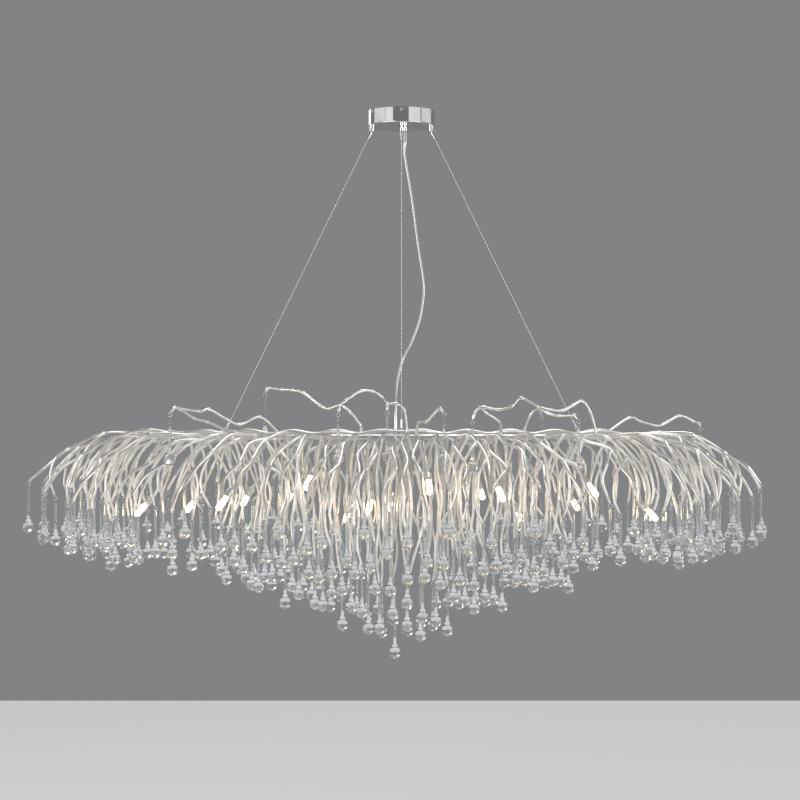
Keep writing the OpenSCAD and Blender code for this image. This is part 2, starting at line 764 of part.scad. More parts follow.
box_size = [80, 50, 30];
box_wall = 2;
box_top = plate_top - plate_h - seat;

module junction_box() {
    color("whitesmoke")
        difference() {
            translate([-box_size.x / 2, -box_size.y / 2, box_top - box_size.z])
                cube(box_size);
            translate([box_wall - box_size.x / 2, box_wall - box_size.y / 2, box_top - box_size.z - 1])
                cube([box_size.x - 2 * box_wall, box_size.y - 2 * box_wall, box_size.z + 1 - box_wall]);
            for (x = [gland_x, 0])
                translate([x, 0, box_top - box_wall - 1])
                    cylinder(r = 3 + seat, h = box_wall + 2, $fn = small_fn);
        }
}

module junction_cover() {
    z = box_top - box_size.z - seat - 2;
    color("whitesmoke")
        difference() {
            translate([-box_size.x / 2, -box_size.y / 2, z])
                cube([box_size.x, box_size.y, 2]);
            for (x = [-1, 1])
                for (y = [-1, 1])
                    translate([x * (box_size.x / 2 - 8), y * (box_size.y / 2 - 8), z - 1])
                        cylinder(r = 1.5 + seat, h = 4, $fn = small_fn);
        }
}

module cover_screws() {
    z = box_top - box_size.z - seat - 2;
    color("silver")
        for (x = [-1, 1])
            for (y = [-1, 1])
                translate([x * (box_size.x / 2 - 8), y * (box_size.y / 2 - 8), z - seat - 1.6]) {
                    cylinder(r = 2.8, h = 1.6, $fn = small_fn);
                    translate([0, 0, 1])
                        cylinder(r = 1.5, h = 9, $fn = small_fn);
                }
}

module connector_block() {
    color("white")
        translate([12, -8, box_top - box_wall - seat - 12])
            cube([24, 16, 12]);
}

// Lamps: the socket's back face is at lamp_at, and lamp_dir points along its bulb
function lamp_at(l) = let (p = reach_xy(heading(l[0] + 0.5), l[1])) [p.x, p.y, ring_z - l[2]];
function lamp_dir(l) =
    let (h = heading(l[0] + 0.5), d = unit(reach_xy(h, 1) - root_xy(h)) * cos(lamp_pitch))
    [d.x, d.y, -sin(lamp_pitch)];
function knuckle_at(l) = let (p = ring_xy(heading(l[0] + 0.5))) [p.x, p.y, ring_z - knuckle_drop];

module lamp_knuckles() {
    color("gainsboro")
        for (l = lamps)
            translate(knuckle_at(l))
                sphere(r = knuckle_drop - bar_d / 2 - seat, $fn = small_fn);
}

module lamp_arms() {
    start = knuckle_drop - bar_d / 2;
    color("gainsboro")
        for (l = lamps) {
            d = lamp_at(l) - knuckle_at(l);
            stop = norm(d) - start - seat - arm_d / 2 * sin(acos(unit(d) * lamp_dir(l)));
            translate(knuckle_at(l))
                aim(d)
                    translate([0, 0, start])
                        difference() {
                            cylinder(d = arm_d, h = stop, $fn = small_fn);
                            translate([0, 0, -1])
                                cylinder(d = arm_d - 2.4, h = stop + 2, $fn = small_fn);
                        }
        }
}

module at_lamps() {
    for (l = lamps)
        translate(lamp_at(l))
            aim(lamp_dir(l))
                children();
}

base_l = 12;
module lamp_sockets() {
    color("silver")
        at_lamps()
            difference() {
                cylinder(d = socket_d, h = socket_l, $fn = small_fn);
                translate([0, 0, socket_l - base_l])
                    cylinder(d = bulb_d + 2 * seat, h = base_l + 1, $fn = small_fn);
            }
}

module bulb_glasses() {
    color("lightyellow")
        at_lamps()
            translate([0, 0, socket_l - base_l + seat])
                difference() {
                    union() {
                        cylinder(d = bulb_d, h = base_l + bulb_l - bulb_d / 2, $fn = small_fn);
                        translate([0, 0, base_l + bulb_l - bulb_d / 2])
                            sphere(d = bulb_d, $fn = small_fn);
                    }
                    translate([0, 0, -1])
                        cylinder(d = bulb_d - 2, h = base_l + bulb_l - 2 * 5, $fn = small_fn);
                }
}

module bulb_cores() {
    color("moccasin")
        at_lamps()
            translate([0, 0, socket_l - base_l + seat]) {
                cylinder(d = bulb_d - 2 - 2 * seat, h = base_l - 2, $fn = small_fn);
                cylinder(r = 2, h = base_l + 22, $fn = small_fn);
            }
}

module root_knuckles() {
    color("gainsboro")
        for (j = [0:plane_count - 1])
            let (r = root_xy(heading(j)))
                translate([r.x, r.y, ring_z])
                    sphere(r = knuckle_r, $fn = small_fn);
}

module arch_rod(pts) {
    tube(square_ended(arch_points(pts), 2), arch_d / 2, 8);
}

module top_arches() {
    color("gainsboro") {
        union() {
            arch_rod(arch_a);
            arch_rod(arch_a_low);
        }
        arch_rod(arch_b);
        union() {
            arch_rod(arch_c);
            arch_rod(arch_c_spur);
        }
        arch_rod(arch_d_pts);
        union() {
            arch_rod(arch_e);
            arch_rod(arch_f);
            arch_rod(arch_f_low);
        }
        arch_rod(arch_g);
        arch_rod(arch_i);
    }
}

module branches_right_end() { branches(0); }
module branches_back_1() { branches(1); }
module branches_back_2() { branches(2); }
module branches_back_3() { branches(3); }
module branches_back_4() { branches(4); }
module branches_back_5() { branches(5); }
module branches_left_end() { branches(6); }
module branches_front_1() { branches(7); }
module branches_front_2() { branches(8); }
module branches_front_3() { branches(9); }
module branches_front_4() { branches(10); }
module branches_front_5() { branches(11); }

all_eyes = concat([for (j = [0:plane_count - 1]) each eyes_of(j)], arch_eyes);

module twig_eyes() {
    color("silver")
        for (e = all_eyes)
            translate(e) eye();
}

module wire_links() {
    color("silver") {
        for (g = [0:11])
            for (j = [g * group_size:(g + 1) * group_size - 1])
                for (e = eyes_of(j))
                    translate(pivot_of(e)) link();
        for (e = arch_eyes)
            translate(pivot_of(e)) link();
    }
}

quarter = plane_count / 4;
module drops_right() { drops(still_eyes(-quarter / 2, quarter / 2 - 1)); }
module drops_back() { drops(still_eyes(quarter / 2, 3 * quarter / 2 - 1)); }
module drops_left() { drops(still_eyes(3 * quarter / 2, 5 * quarter / 2 - 1)); }
module drops_front() { drops(still_eyes(5 * quarter / 2, 7 * quarter / 2 - 1)); }
module drops_of_arches() { drops(arch_eyes); }
module swing_drop_1() { drops([swing_eye(0)]); }
module swing_drop_2() { drops([swing_eye(1)]); }
module swing_drop_3() { drops([swing_eye(2)]); }
module swing_drop_4() { drops([swing_eye(3)]); }
module swing_drop_5() { drops([swing_eye(4)]); }
module swing_drop_6() { drops([swing_eye(5)]); }

ceiling_bracket();
earth_screw();
terminal_block();
canopy_shell();
canopy_screws();
side_bushes();
centre_bush();
bush_nuts();
canopy_lead();
wire_grippers();
release_plunger_left();
release_plunger_centre();
release_plunger_right();
wire_left();
wire_centre();
wire_right();
wire_anchors();
box_nuts();
cord_sleeve();
power_cord();
cord_gland();
spine_frame();
spine_runners();
junction_box();
junction_cover();
cover_screws();
connector_block();
lamp_knuckles();
lamp_arms();
lamp_sockets();
bulb_glasses();
bulb_cores();
root_knuckles();
top_arches();
branches_right_end();
branches_back_1();
branches_back_2();
branches_back_3();
branches_back_4();
branches_back_5();
branches_left_end();
branches_front_1();
branches_front_2();
branches_front_3();
branches_front_4();
branches_front_5();
twig_eyes();
wire_links();
drops_right();
drops_back();
drops_left();
drops_front();
drops_of_arches();
swing_drop_1();
swing_drop_2();
swing_drop_3();
swing_drop_4();
swing_drop_5();
swing_drop_6();
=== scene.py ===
"""Looks of a linear branch chandelier: silvered rods, hanging glass drops and capsule lamps.

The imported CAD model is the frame. Lengths are worked out in its millimetres, and a mesh gets its
points in metres. The front of the chandelier faces -Y and the ceiling is at height zero.
"""

import json
import logging
from dataclasses import dataclass, field
from enum import Enum
from typing import Any, Callable, Sequence

import bpy
import numpy as np
from numpy.typing import NDArray
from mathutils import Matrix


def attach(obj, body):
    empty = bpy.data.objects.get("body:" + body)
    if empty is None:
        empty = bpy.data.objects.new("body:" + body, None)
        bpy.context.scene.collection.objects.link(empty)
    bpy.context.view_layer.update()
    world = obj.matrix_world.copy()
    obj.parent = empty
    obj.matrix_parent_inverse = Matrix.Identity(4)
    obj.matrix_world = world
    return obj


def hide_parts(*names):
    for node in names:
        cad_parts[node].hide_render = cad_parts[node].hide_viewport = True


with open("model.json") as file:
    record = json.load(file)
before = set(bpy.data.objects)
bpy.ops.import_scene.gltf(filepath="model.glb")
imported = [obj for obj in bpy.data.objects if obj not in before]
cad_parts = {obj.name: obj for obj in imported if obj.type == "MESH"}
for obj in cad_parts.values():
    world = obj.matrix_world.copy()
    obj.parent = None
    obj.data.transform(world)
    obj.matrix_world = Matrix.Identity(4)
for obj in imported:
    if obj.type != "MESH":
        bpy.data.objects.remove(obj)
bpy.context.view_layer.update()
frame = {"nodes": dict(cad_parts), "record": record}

Array = NDArray[np.float64]
Colour = tuple[float, float, float]
MILLIMETRE = 0.001
log = logging.getLogger("chandelier")


class Body(Enum):
    """Bodies of the frame that the pieces ride on."""

    CANOPY = "canopy"
    FIXTURE = "fixture"


class Slot(Enum):
    """Material slots of the record."""

    SATIN = "satin_metal"
    FRAME_STEEL = "steel_frame"
    STEEL = "steel"
    CHROME = "chrome"
    BRASS = "brass"
    PLASTIC = "white_plastic"
    CORD = "clear_cord"
    GLASS = "clear_glass"
    BULB = "bulb_glass"
    GLOW = "bulb_glow"


class Ends(Enum):
    """How a skin ends: with a pole at each end, or run round into itself."""

    POLES = "poles"
    LOOP = "loop"


def unit(vectors: Array) -> Array:
    """Each vector divided by its length."""
    return vectors / np.linalg.norm(vectors, axis=-1, keepdims=True)


def jitter(index: Array | float, key: Array | float) -> Array:
    """Repeatable scatter between -1 and 1: the fraction of a golden-ratio step, as in the CAD source."""
    step = np.asarray(index * 0.7548776662 + key * 0.5698402910, dtype=float)
    return 2 * (step - np.floor(step)) - 1


def smooth_curve(points: Array, steps: int) -> Array:
    """Curve through points, by the Catmull-Rom formula.

    Args:
        points: Route points, one a row.
        steps: Steps between two neighbours.

    Returns:
        Points of the curve, the first and last route points among them.
    """
    padded = np.vstack([points[:1], points, points[-1:]])
    a, b, c, d = (padded[i:len(padded) - 3 + i, None, :] for i in range(4))
    t = (np.arange(steps) / steps)[None, :, None]
    inner = b + 0.5 * t * (c - a + t * (2 * a - 5 * b + 4 * c - d + t * (3 * (b - c) + d - a)))
    return np.vstack([inner.reshape(-1, 3), points[-1:]])


def tangents(paths: Array) -> Array:
    """Directions along each path, from the neighbours on both sides of a point."""
    return unit(np.gradient(paths, axis=-2))


def sideways(along: Array) -> Array:
    """A direction square to each tangent: the axis that the path is never near, less its part along it."""
    nearest = np.abs(along).max(axis=-2)
    axis = np.eye(3)[nearest.argmin(axis=-1)][..., None, :]
    return unit(axis - along * (along * axis).sum(axis=-1, keepdims=True))


@dataclass
class Surface:
    """Points and faces of one mesh, gathered shape by shape."""

    points: list[Array] = field(default_factory=list)
    faces: list[list[int]] = field(default_factory=list)
    around: list[Array] = field(default_factory=list)
    count: int = 0

    def skin(self, centres: Array, along: Array, side: Array, radii: Array, sides: int,
             ends: Ends = Ends.POLES, length: Array | None = None) -> None:
        """Adds tubes whose rings stand square to their paths.

        A point is centre + radius * (cos a * side + sin a * along x side), where a goes round once.

        Args:
            centres: Ring centres, as tubes x rings x 3.
            along: Unit directions of the axis at each ring.
            side: Unit directions square to them.
            radii: Ring radii, as tubes x rings.
            sides: Points in a ring.
            ends: Poles at both ends, or a path that closes on itself.
            length: Distance along the path at each ring, kept with the points for patterns.
        """
        tubes, rings = radii.shape
        angle = np.arange(sides) * 2 * np.pi / sides
        up = np.cross(along, side)
        spoke = (np.cos(angle)[:, None] * side[..., None, :] + np.sin(angle)[:, None] * up[..., None, :])
        ring_points = centres[..., None, :] + radii[..., None, None] * spoke
        poles = 2 if ends is Ends.POLES else 0
        block = rings * sides + poles
        tips = centres[:, [0, -1], :][:, :poles, :]
        everything = np.concatenate([ring_points.reshape(tubes, rings * sides, 3), tips], axis=1)
        first = self.count + block * np.arange(tubes)[:, None, None]
        grid = np.arange(rings * sides).reshape(rings, sides)
        if ends is Ends.LOOP:
            grid = np.vstack([grid, grid[:1]])
        turned = np.roll(grid, -1, axis=1)
        quads = np.stack([grid[:-1], turned[:-1], turned[1:], grid[1:]], axis=-1).reshape(1, -1, 4)
        self.faces += (first + quads).reshape(-1, 4).tolist()
        if poles:
            low = np.full(sides, rings * sides)
            fans = np.concatenate([np.stack([low, turned[0], grid[0]], axis=-1),
                                   np.stack([low + 1, grid[-1], turned[-1]], axis=-1)])
            self.faces += (first + fans[None]).reshape(-1, 3).tolist()
        if length is None:
            length = np.zeros((tubes, rings))
        run = np.concatenate([np.repeat(length, sides, axis=1), length[:, [0, -1]][:, :poles]], axis=1)
        self.points.append(everything.reshape(-1, 3))
        self.around.append(run.reshape(-1))
        self.count += tubes * block

    def sweep(self, paths: Array, radii: Array, sides: int, ends: Ends = Ends.POLES) -> None:
        """Adds round rods along paths, their ends cut square.

        Args:
            paths: Points, as rods x points x 3.
            radii: Radius at each point, as rods x points.
            sides: Points in a ring.
            ends: How the rods end.
        """
        along = tangents(paths)
        if ends is Ends.LOOP:
            along = unit(np.roll(paths, -1, axis=1) - np.roll(paths, 1, axis=1))
        gone = np.cumsum(np.linalg.norm(np.diff(paths, axis=1, prepend=paths[:, :1]), axis=2), axis=1)
        self.skin(paths, along, sideways(along), radii, sides, ends, gone)

    def turn(self, places: Array, axes: Array, profile: Array, sides: int,
             ends: Ends = Ends.POLES) -> None:
        """Adds turned shapes: a profile of (radius, height) rows carried round an axis at each place.

        Args:
            places: Origins, one a row.
            axes: Unit directions of the axes, one a row.
            profile: Radii and heights, from the lower end up the outside.
            sides: Points in a ring.
            ends: Poles at the profile's ends, or a profile that closes on itself.
        """
        centres = places[:, None, :] + axes[:, None, :] * profile[None, :, 1, None]
        along = np.repeat(axes[:, None, :], len(profile), axis=1)
        radii = np.repeat(profile[None, :, 0], len(places), axis=0)
        gone = np.cumsum(np.linalg.norm(np.diff(profile, axis=0, prepend=profile[:1]), axis=1))
        run = np.repeat(gone[None], len(places), axis=0)
        self.skin(centres, along, sideways(along), radii, sides, ends, run)

    def rings(self, places: Array, axes: Array, size: float, wire: float, sides: tuple[int, int]) -> None:
        """Adds wire rings round an axis at each place.

        The wire's profile is a circle of radius wire whose middle is size off the axis.

        Args:
            places: Middles of the rings, one a row.
            axes: Unit directions that the rings stand square to.
            size: Radius of the ring's centre line.
            wire: Radius of the wire.
            sides: Points round the ring and round its wire.
        """
        angle = np.arange(sides[1]) * 2 * np.pi / sides[1]
        profile = np.stack([size + wire * np.cos(angle), wire * np.sin(angle)], axis=-1)
        self.turn(places, axes, profile, sides[0], Ends.LOOP)

    def piece(self, name: str, sharp: float = 38.0) -> bpy.types.Object:
        """Makes the object, in metres.

        Args:
            name: Name of the piece.
            sharp: Faces that meet at more than this many degrees keep a hard edge between them.

        Returns:
            The object, at the origin.
        """
        mesh = bpy.data.meshes.new(name)
        mesh.from_pydata(np.concatenate(self.points) * MILLIMETRE, [], self.faces)
        run = mesh.attributes.new("run", "FLOAT", "POINT")
        run.data.foreach_set("value", (np.concatenate(self.around) * MILLIMETRE).astype(np.float32))
        mesh.polygons.foreach_set("use_smooth", np.ones(len(mesh.polygons), dtype=bool))
        mesh.set_sharp_from_angle(angle=np.radians(sharp))
        mesh.update()
        made = bpy.data.objects.new(name, mesh)
        bpy.context.scene.collection.objects.link(made)
        return made


class Sheet:
    """Node tree of one material, with short calls that add and join its nodes."""

    def __init__(self, name: str) -> None:
        """Starts a material with its shader and its coordinates."""
        self.material = bpy.data.materials.new(name)
        self.material.use_nodes = True
        self.tree = self.material.node_tree
        self.shader = self.tree.nodes["Principled BSDF"]
        self.place = self.add("ShaderNodeTexCoord").outputs["Object"]

    def add(self, kind: str, **settings: Any) -> bpy.types.Node:
        """Adds a node and sets its properties."""
        node = self.tree.nodes.new(kind)
        for key, value in settings.items():
            setattr(node, key, value)
        return node

    def join(self, source: bpy.types.NodeSocket, target: bpy.types.NodeSocket) -> None:
        """Links two sockets."""
        self.tree.links.new(source, target)

    def stretched(self, scale: Sequence[float]) -> bpy.types.NodeSocket:
        """Object coordinates scaled by axis, for grain that runs one way."""
        mapping = self.add("ShaderNodeMapping")
        mapping.inputs["Scale"].default_value = tuple(scale)
        self.join(self.place, mapping.inputs["Vector"])
        return mapping.outputs["Vector"]

    def noise(self, scale: float, detail: float = 3.0,
              vector: bpy.types.NodeSocket | None = None) -> bpy.types.NodeSocket:
        """Adds a noise pattern.

        Args:
            scale: Waves in a metre.
            detail: Number of finer layers.
            vector: Coordinates, or None for the object's own.

        Returns:
            The pattern's value.
        """
        node = self.add("ShaderNodeTexNoise")
        node.inputs["Scale"].default_value = scale
        node.inputs["Detail"].default_value = detail
        self.join(vector or self.place, node.inputs["Vector"])
        return node.outputs["Fac"]

    def between(self, value: bpy.types.NodeSocket, low: Colour, high: Colour,
                span: tuple[float, float] = (0.35, 0.65)) -> bpy.types.NodeSocket:
        """Colour that goes from low to high as a pattern's value crosses a span."""
        ramp = self.add("ShaderNodeValToRGB")
        ends = ramp.color_ramp.elements
        ends[0].position, ends[1].position = span
        ends[0].color, ends[1].color = (*low, 1.0), (*high, 1.0)
        self.join(value, ramp.inputs["Fac"])
        return ramp.outputs["Color"]

    def ranged(self, value: bpy.types.NodeSocket, low: float, high: float) -> bpy.types.NodeSocket:
        """A pattern's value moved from its usual span, 0.3 to 0.7, into another."""
        node = self.add("ShaderNodeMapRange")
        for socket, number in zip(("From Min", "From Max", "To Min", "To Max"), (0.3, 0.7, low, high)):
            node.inputs[socket].default_value = number
        self.join(value, node.inputs["Value"])
        return node.outputs["Result"]

    def bump(self, height: bpy.types.NodeSocket, depth: float) -> None:
        """Lets a pattern raise the surface by up to a depth in metres."""
        node = self.add("ShaderNodeBump")
        node.inputs["Strength"].default_value = 1.0
        node.inputs["Distance"].default_value = depth
        self.join(height, node.inputs["Height"])
        self.join(node.outputs["Normal"], self.shader.inputs["Normal"])

    def seen(self) -> bpy.types.NodeSocket:
        """1 for rays from the camera, from metal and through glass, 0 where the thing only lights others."""
        path = self.add("ShaderNodeLightPath")
        switch = path.outputs["Is Camera Ray"]
        for way in ("Is Glossy Ray", "Is Transmission Ray"):
            either = self.add("ShaderNodeMath", operation="MAXIMUM")
            self.join(switch, either.inputs[0])
            self.join(path.outputs[way], either.inputs[1])
            switch = either.outputs[0]
        return switch

    def fixed(self, **values: Any) -> None:
        """Sets the shader's own sockets; an underscore stands for a space in a socket's name."""
        for key, value in values.items():
            self.shader.inputs[key.replace("_", " ")].default_value = value


@dataclass(frozen=True)
class Metal:
    """Bare or plated metal: two tones in soft clouds, uneven gloss and a fine grain."""

    name: str
    dull: Colour
    bright: Colour
    gloss: tuple[float, float]
    cloud_scale: float = 45.0
    grain_scale: float = 900.0
    grain_depth: float = 0.00004
    stretch: tuple[float, float, float] = (1.0, 1.0, 1.0)

    def make(self) -> bpy.types.Material:
        """Builds the material."""
        sheet = Sheet(self.name)
        grain = sheet.stretched(self.stretch)
        sheet.fixed(Metallic=1.0)
        clouds = sheet.noise(self.cloud_scale, 4.0)
        sheet.join(sheet.between(clouds, self.dull, self.bright), sheet.shader.inputs["Base Color"])
        rubbed = sheet.noise(self.cloud_scale * 3.1, 3.0, grain)
        sheet.join(sheet.ranged(rubbed, *self.gloss), sheet.shader.inputs["Roughness"])
        sheet.bump(sheet.noise(self.grain_scale, 2.0, grain), self.grain_depth)
        return sheet.material


@dataclass(frozen=True)
class Glass:
    """Clear hand-worked glass: faint waves in the surface and seeds that cloud it a little."""

    name: str
    tint: Colour
    rim_shade: Colour
    seeds: Colour
    wave_scale: float = 110.0
    wave_depth: float = 0.0001

    def make(self) -> bpy.types.Material:
        """Builds the material: its colour is painted darker where the glass is seen at a slant, a painted shade at
        the rim.
        """
        sheet = Sheet(self.name)
        sheet.fixed(Transmission_Weight=1.0, IOR=1.5, Roughness=0.0)
        # Painted shade: the base colour goes darker towards the silhouette, in place of the dark surroundings that
        # refraction shows at a glass rim.
        slant = sheet.add("ShaderNodeLayerWeight")
        slant.inputs["Blend"].default_value = 0.5
        edge = sheet.between(slant.outputs["Facing"], self.tint, self.rim_shade, (0.34, 0.92))
        spots = sheet.between(sheet.noise(520.0, 1.0), (0.0, 0.0, 0.0), (1.0, 1.0, 1.0), (0.68, 0.74))
        mix = sheet.add("ShaderNodeMix", data_type="RGBA")
        sheet.join(spots, mix.inputs["Factor"])
        sheet.join(edge, mix.inputs["A"])
        mix.inputs["B"].default_value = (*self.seeds, 1.0)
        sheet.join(mix.outputs["Result"], sheet.shader.inputs["Base Color"])
        sheet.bump(sheet.noise(self.wave_scale, 2.0), self.wave_depth)
        return sheet.material


@dataclass(frozen=True)
class Glow:
    """Lit part of a lamp: white-hot in its middle and amber towards both ends of its run."""

    name: str
    hot: Colour
    amber: Colour
    strength: float
    middle: float
    reach: float

    def make(self) -> bpy.types.Material:
        """Builds the material from the distance along the profile, in metres, and a little noise."""
        sheet = Sheet(self.name)
        sheet.fixed(Roughness=0.3, Emission_Strength=self.strength)
        run = sheet.add("ShaderNodeAttribute", attribute_name="run").outputs["Fac"]
        off = sheet.add("ShaderNodeMath", operation="SUBTRACT")
        off.inputs[1].default_value = self.middle
        sheet.join(run, off.inputs[0])
        away = sheet.add("ShaderNodeMath", operation="ABSOLUTE")
        sheet.join(off.outputs[0], away.inputs[0])
        share = sheet.add("ShaderNodeMath", operation="DIVIDE")
        share.inputs[1].default_value = self.reach
        sheet.join(away.outputs[0], share.inputs[0])
        uneven = sheet.add("ShaderNodeMath", operation="MULTIPLY_ADD")
        uneven.inputs[1].default_value = 0.2
        sheet.join(sheet.noise(160.0), uneven.inputs[0])
        sheet.join(share.outputs[0], uneven.inputs[2])
        tone = sheet.between(uneven.outputs[0], self.hot, self.amber, (0.35, 1.05))
        sheet.join(tone, sheet.shader.inputs["Emission Color"])
        sheet.join(tone, sheet.shader.inputs["Base Color"])
        return sheet.material


@dataclass(frozen=True)
class Moulding:
    """Moulded plastic: a faint mottle, a satin surface and the fine pits of the mould."""

    name: str
    low: Colour
    high: Colour
    gloss: tuple[float, float] = (0.38, 0.5)
    pit_depth: float = 0.00005

    def make(self) -> bpy.types.Material:
        """Builds the material."""
        sheet = Sheet(self.name)
        mottle = sheet.noise(70.0)
        sheet.join(sheet.between(mottle, self.low, self.high), sheet.shader.inputs["Base Color"])
        sheet.join(sheet.ranged(sheet.noise(240.0), *self.gloss), sheet.shader.inputs["Roughness"])
        sheet.bump(sheet.noise(1800.0, 1.0), self.pit_depth)
        return sheet.material


@dataclass(frozen=True)
class ClearJacket:
    """Clear cord jacket over tinned strands, whose lay shows as fine slanting bands along the run."""

    name: str
    strand: Colour
    gap: Colour
    lay: float = 0.0035

    def make(self) -> bpy.types.Material:
        """Builds the material; the bands follow the attribute that holds the distance run."""
        sheet = Sheet(self.name)
        sheet.fixed(Roughness=0.12, Coat_Weight=1.0, Coat_Roughness=0.06, Metallic=0.55)
        run = sheet.add("ShaderNodeAttribute", attribute_name="run").outputs["Fac"]
        turns = sheet.add("ShaderNodeMath", operation="MULTIPLY")
        turns.inputs[1].default_value = 2 * np.pi / self.lay
        sheet.join(run, turns.inputs[0])
        wave = sheet.add("ShaderNodeMath", operation="SINE")
        sheet.join(turns.outputs[0], wave.inputs[0])
        blur = sheet.add("ShaderNodeMath", operation="MULTIPLY_ADD")
        blur.inputs[1].default_value = 0.5
        sheet.join(wave.outputs[0], blur.inputs[0])
        sheet.join(sheet.noise(90.0), blur.inputs[2])
        tone = sheet.between(blur.outputs[0], self.gap, self.strand, (0.1, 0.9))
        sheet.join(tone, sheet.shader.inputs["Base Color"])
        return sheet.material


@dataclass(frozen=True)
class Paper:
    """Seamless studio paper: pale and matt, and plain to the camera whatever light falls on it."""

    name: str
    colour: Colour
    plain: float

    def make(self) -> bpy.types.Material:
        """Builds the material: seen directly or in metal and glass, part of its tone is its own."""
        sheet = Sheet(self.name)
        tone = sheet.between(sheet.noise(6.0), self.colour, tuple(c * 1.02 for c in self.colour))
        sheet.join(tone, sheet.shader.inputs["Base Color"])
        sheet.fixed(Roughness=0.9)
        glow = sheet.add("ShaderNodeEmission")
        glow.inputs["Color"].default_value = (*self.colour, 1.0)
        share = sheet.add("ShaderNodeMath", operation="MULTIPLY")
        share.inputs[1].default_value = self.plain
        sheet.join(sheet.seen(), share.inputs[0])
        mix = sheet.add("ShaderNodeMixShader")
        out = sheet.tree.nodes["Material Output"]
        sheet.join(share.outputs[0], mix.inputs["Fac"])
        sheet.join(sheet.shader.outputs[0], mix.inputs[1])
        sheet.join(glow.outputs[0], mix.inputs[2])
        sheet.join(mix.outputs[0], out.inputs["Surface"])
        return sheet.material


@dataclass
class Finishes:
    """The chandelier's materials, each built once."""

    satin: bpy.types.Material = field(default_factory=Metal(
        "satin_silver", (0.76, 0.745, 0.715), (0.90, 0.885, 0.855), (0.28, 0.4), 55.0, 500.0, 0.00003).make)
    forged: bpy.types.Material = field(default_factory=Metal(
        "forged_silver", (0.62, 0.615, 0.60), (0.80, 0.795, 0.78), (0.32, 0.46), 40.0, 300.0, 0.00006).make)
    chrome: bpy.types.Material = field(default_factory=Metal(
        "polished_chrome", (0.66, 0.67, 0.68), (0.76, 0.77, 0.78), (0.04, 0.1), 25.0, 1500.0, 0.000004,
        (1.0, 1.0, 0.1)).make)
    steel: bpy.types.Material = field(default_factory=Metal(
        "drawn_steel", (0.80, 0.80, 0.79), (0.90, 0.90, 0.89), (0.5, 0.58), 900.0, 2200.0, 0.000004,
        (1.0, 1.0, 0.2)).make)
    zinc: bpy.types.Material = field(default_factory=Metal(
        "zinc_plate", (0.36, 0.38, 0.40), (0.58, 0.60, 0.62), (0.28, 0.46), 160.0, 700.0, 0.00003).make)
    brass: bpy.types.Material = field(default_factory=Metal(
        "turned_brass", (0.52, 0.36, 0.12), (0.74, 0.55, 0.24), (0.2, 0.34), 200.0, 1800.0, 0.00002).make)
    plastic: bpy.types.Material = field(default_factory=Moulding(
        "white_moulding", (0.72, 0.72, 0.70), (0.80, 0.80, 0.78)).make)
    cord: bpy.types.Material = field(default_factory=ClearJacket(
        "clear_cord_jacket", (0.74, 0.74, 0.73), (0.58, 0.58, 0.58)).make)
    # The glass's second colour is painted shade for the rims of the drops.
    glass: bpy.types.Material = field(default_factory=Glass(
        "drop_glass", (0.97, 0.98, 0.98), (0.46, 0.48, 0.49), (0.80, 0.82, 0.82)).make)
    bulb: bpy.types.Material = field(default_factory=Glow(
        "bulb_glass_lit", (1.0, 0.76, 0.45), (0.20, 0.08, 0.022), 13.0, 0.036, 0.034).make)
    filament: bpy.types.Material = field(default_factory=Glow(
        "bulb_core_lit", (1.0, 0.88, 0.66), (1.0, 0.6, 0.25), 6.0, 0.034, 0.03).make)


def finish(piece: bpy.types.Object, body: str, nodes: Sequence[str],
           material: bpy.types.Material) -> bpy.types.Object:
    """Dresses a piece and tells the frame what it is.

    Args:
        piece: The new piece.
        body: Body that it rides on.
        nodes: CAD nodes that it stands for.
        material: Its material.

    Returns:
        The piece.
    """
    piece.data.materials.clear()
    piece.data.materials.append(material)
    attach(piece, body)
    if nodes:
        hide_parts(*nodes)
    log.info("%s rides on %s with %d faces", piece.name, body, len(piece.data.polygons))
    return piece


def dress(nodes: Sequence[str], material: bpy.types.Material) -> None:
    """Gives CAD nodes that stay in view a better material."""
    for name in nodes:
        slots = frame["nodes"][name].data.materials
        slots.clear()
        slots.append(material)
        log.info("%s keeps its CAD shape in %s", name, material.name)


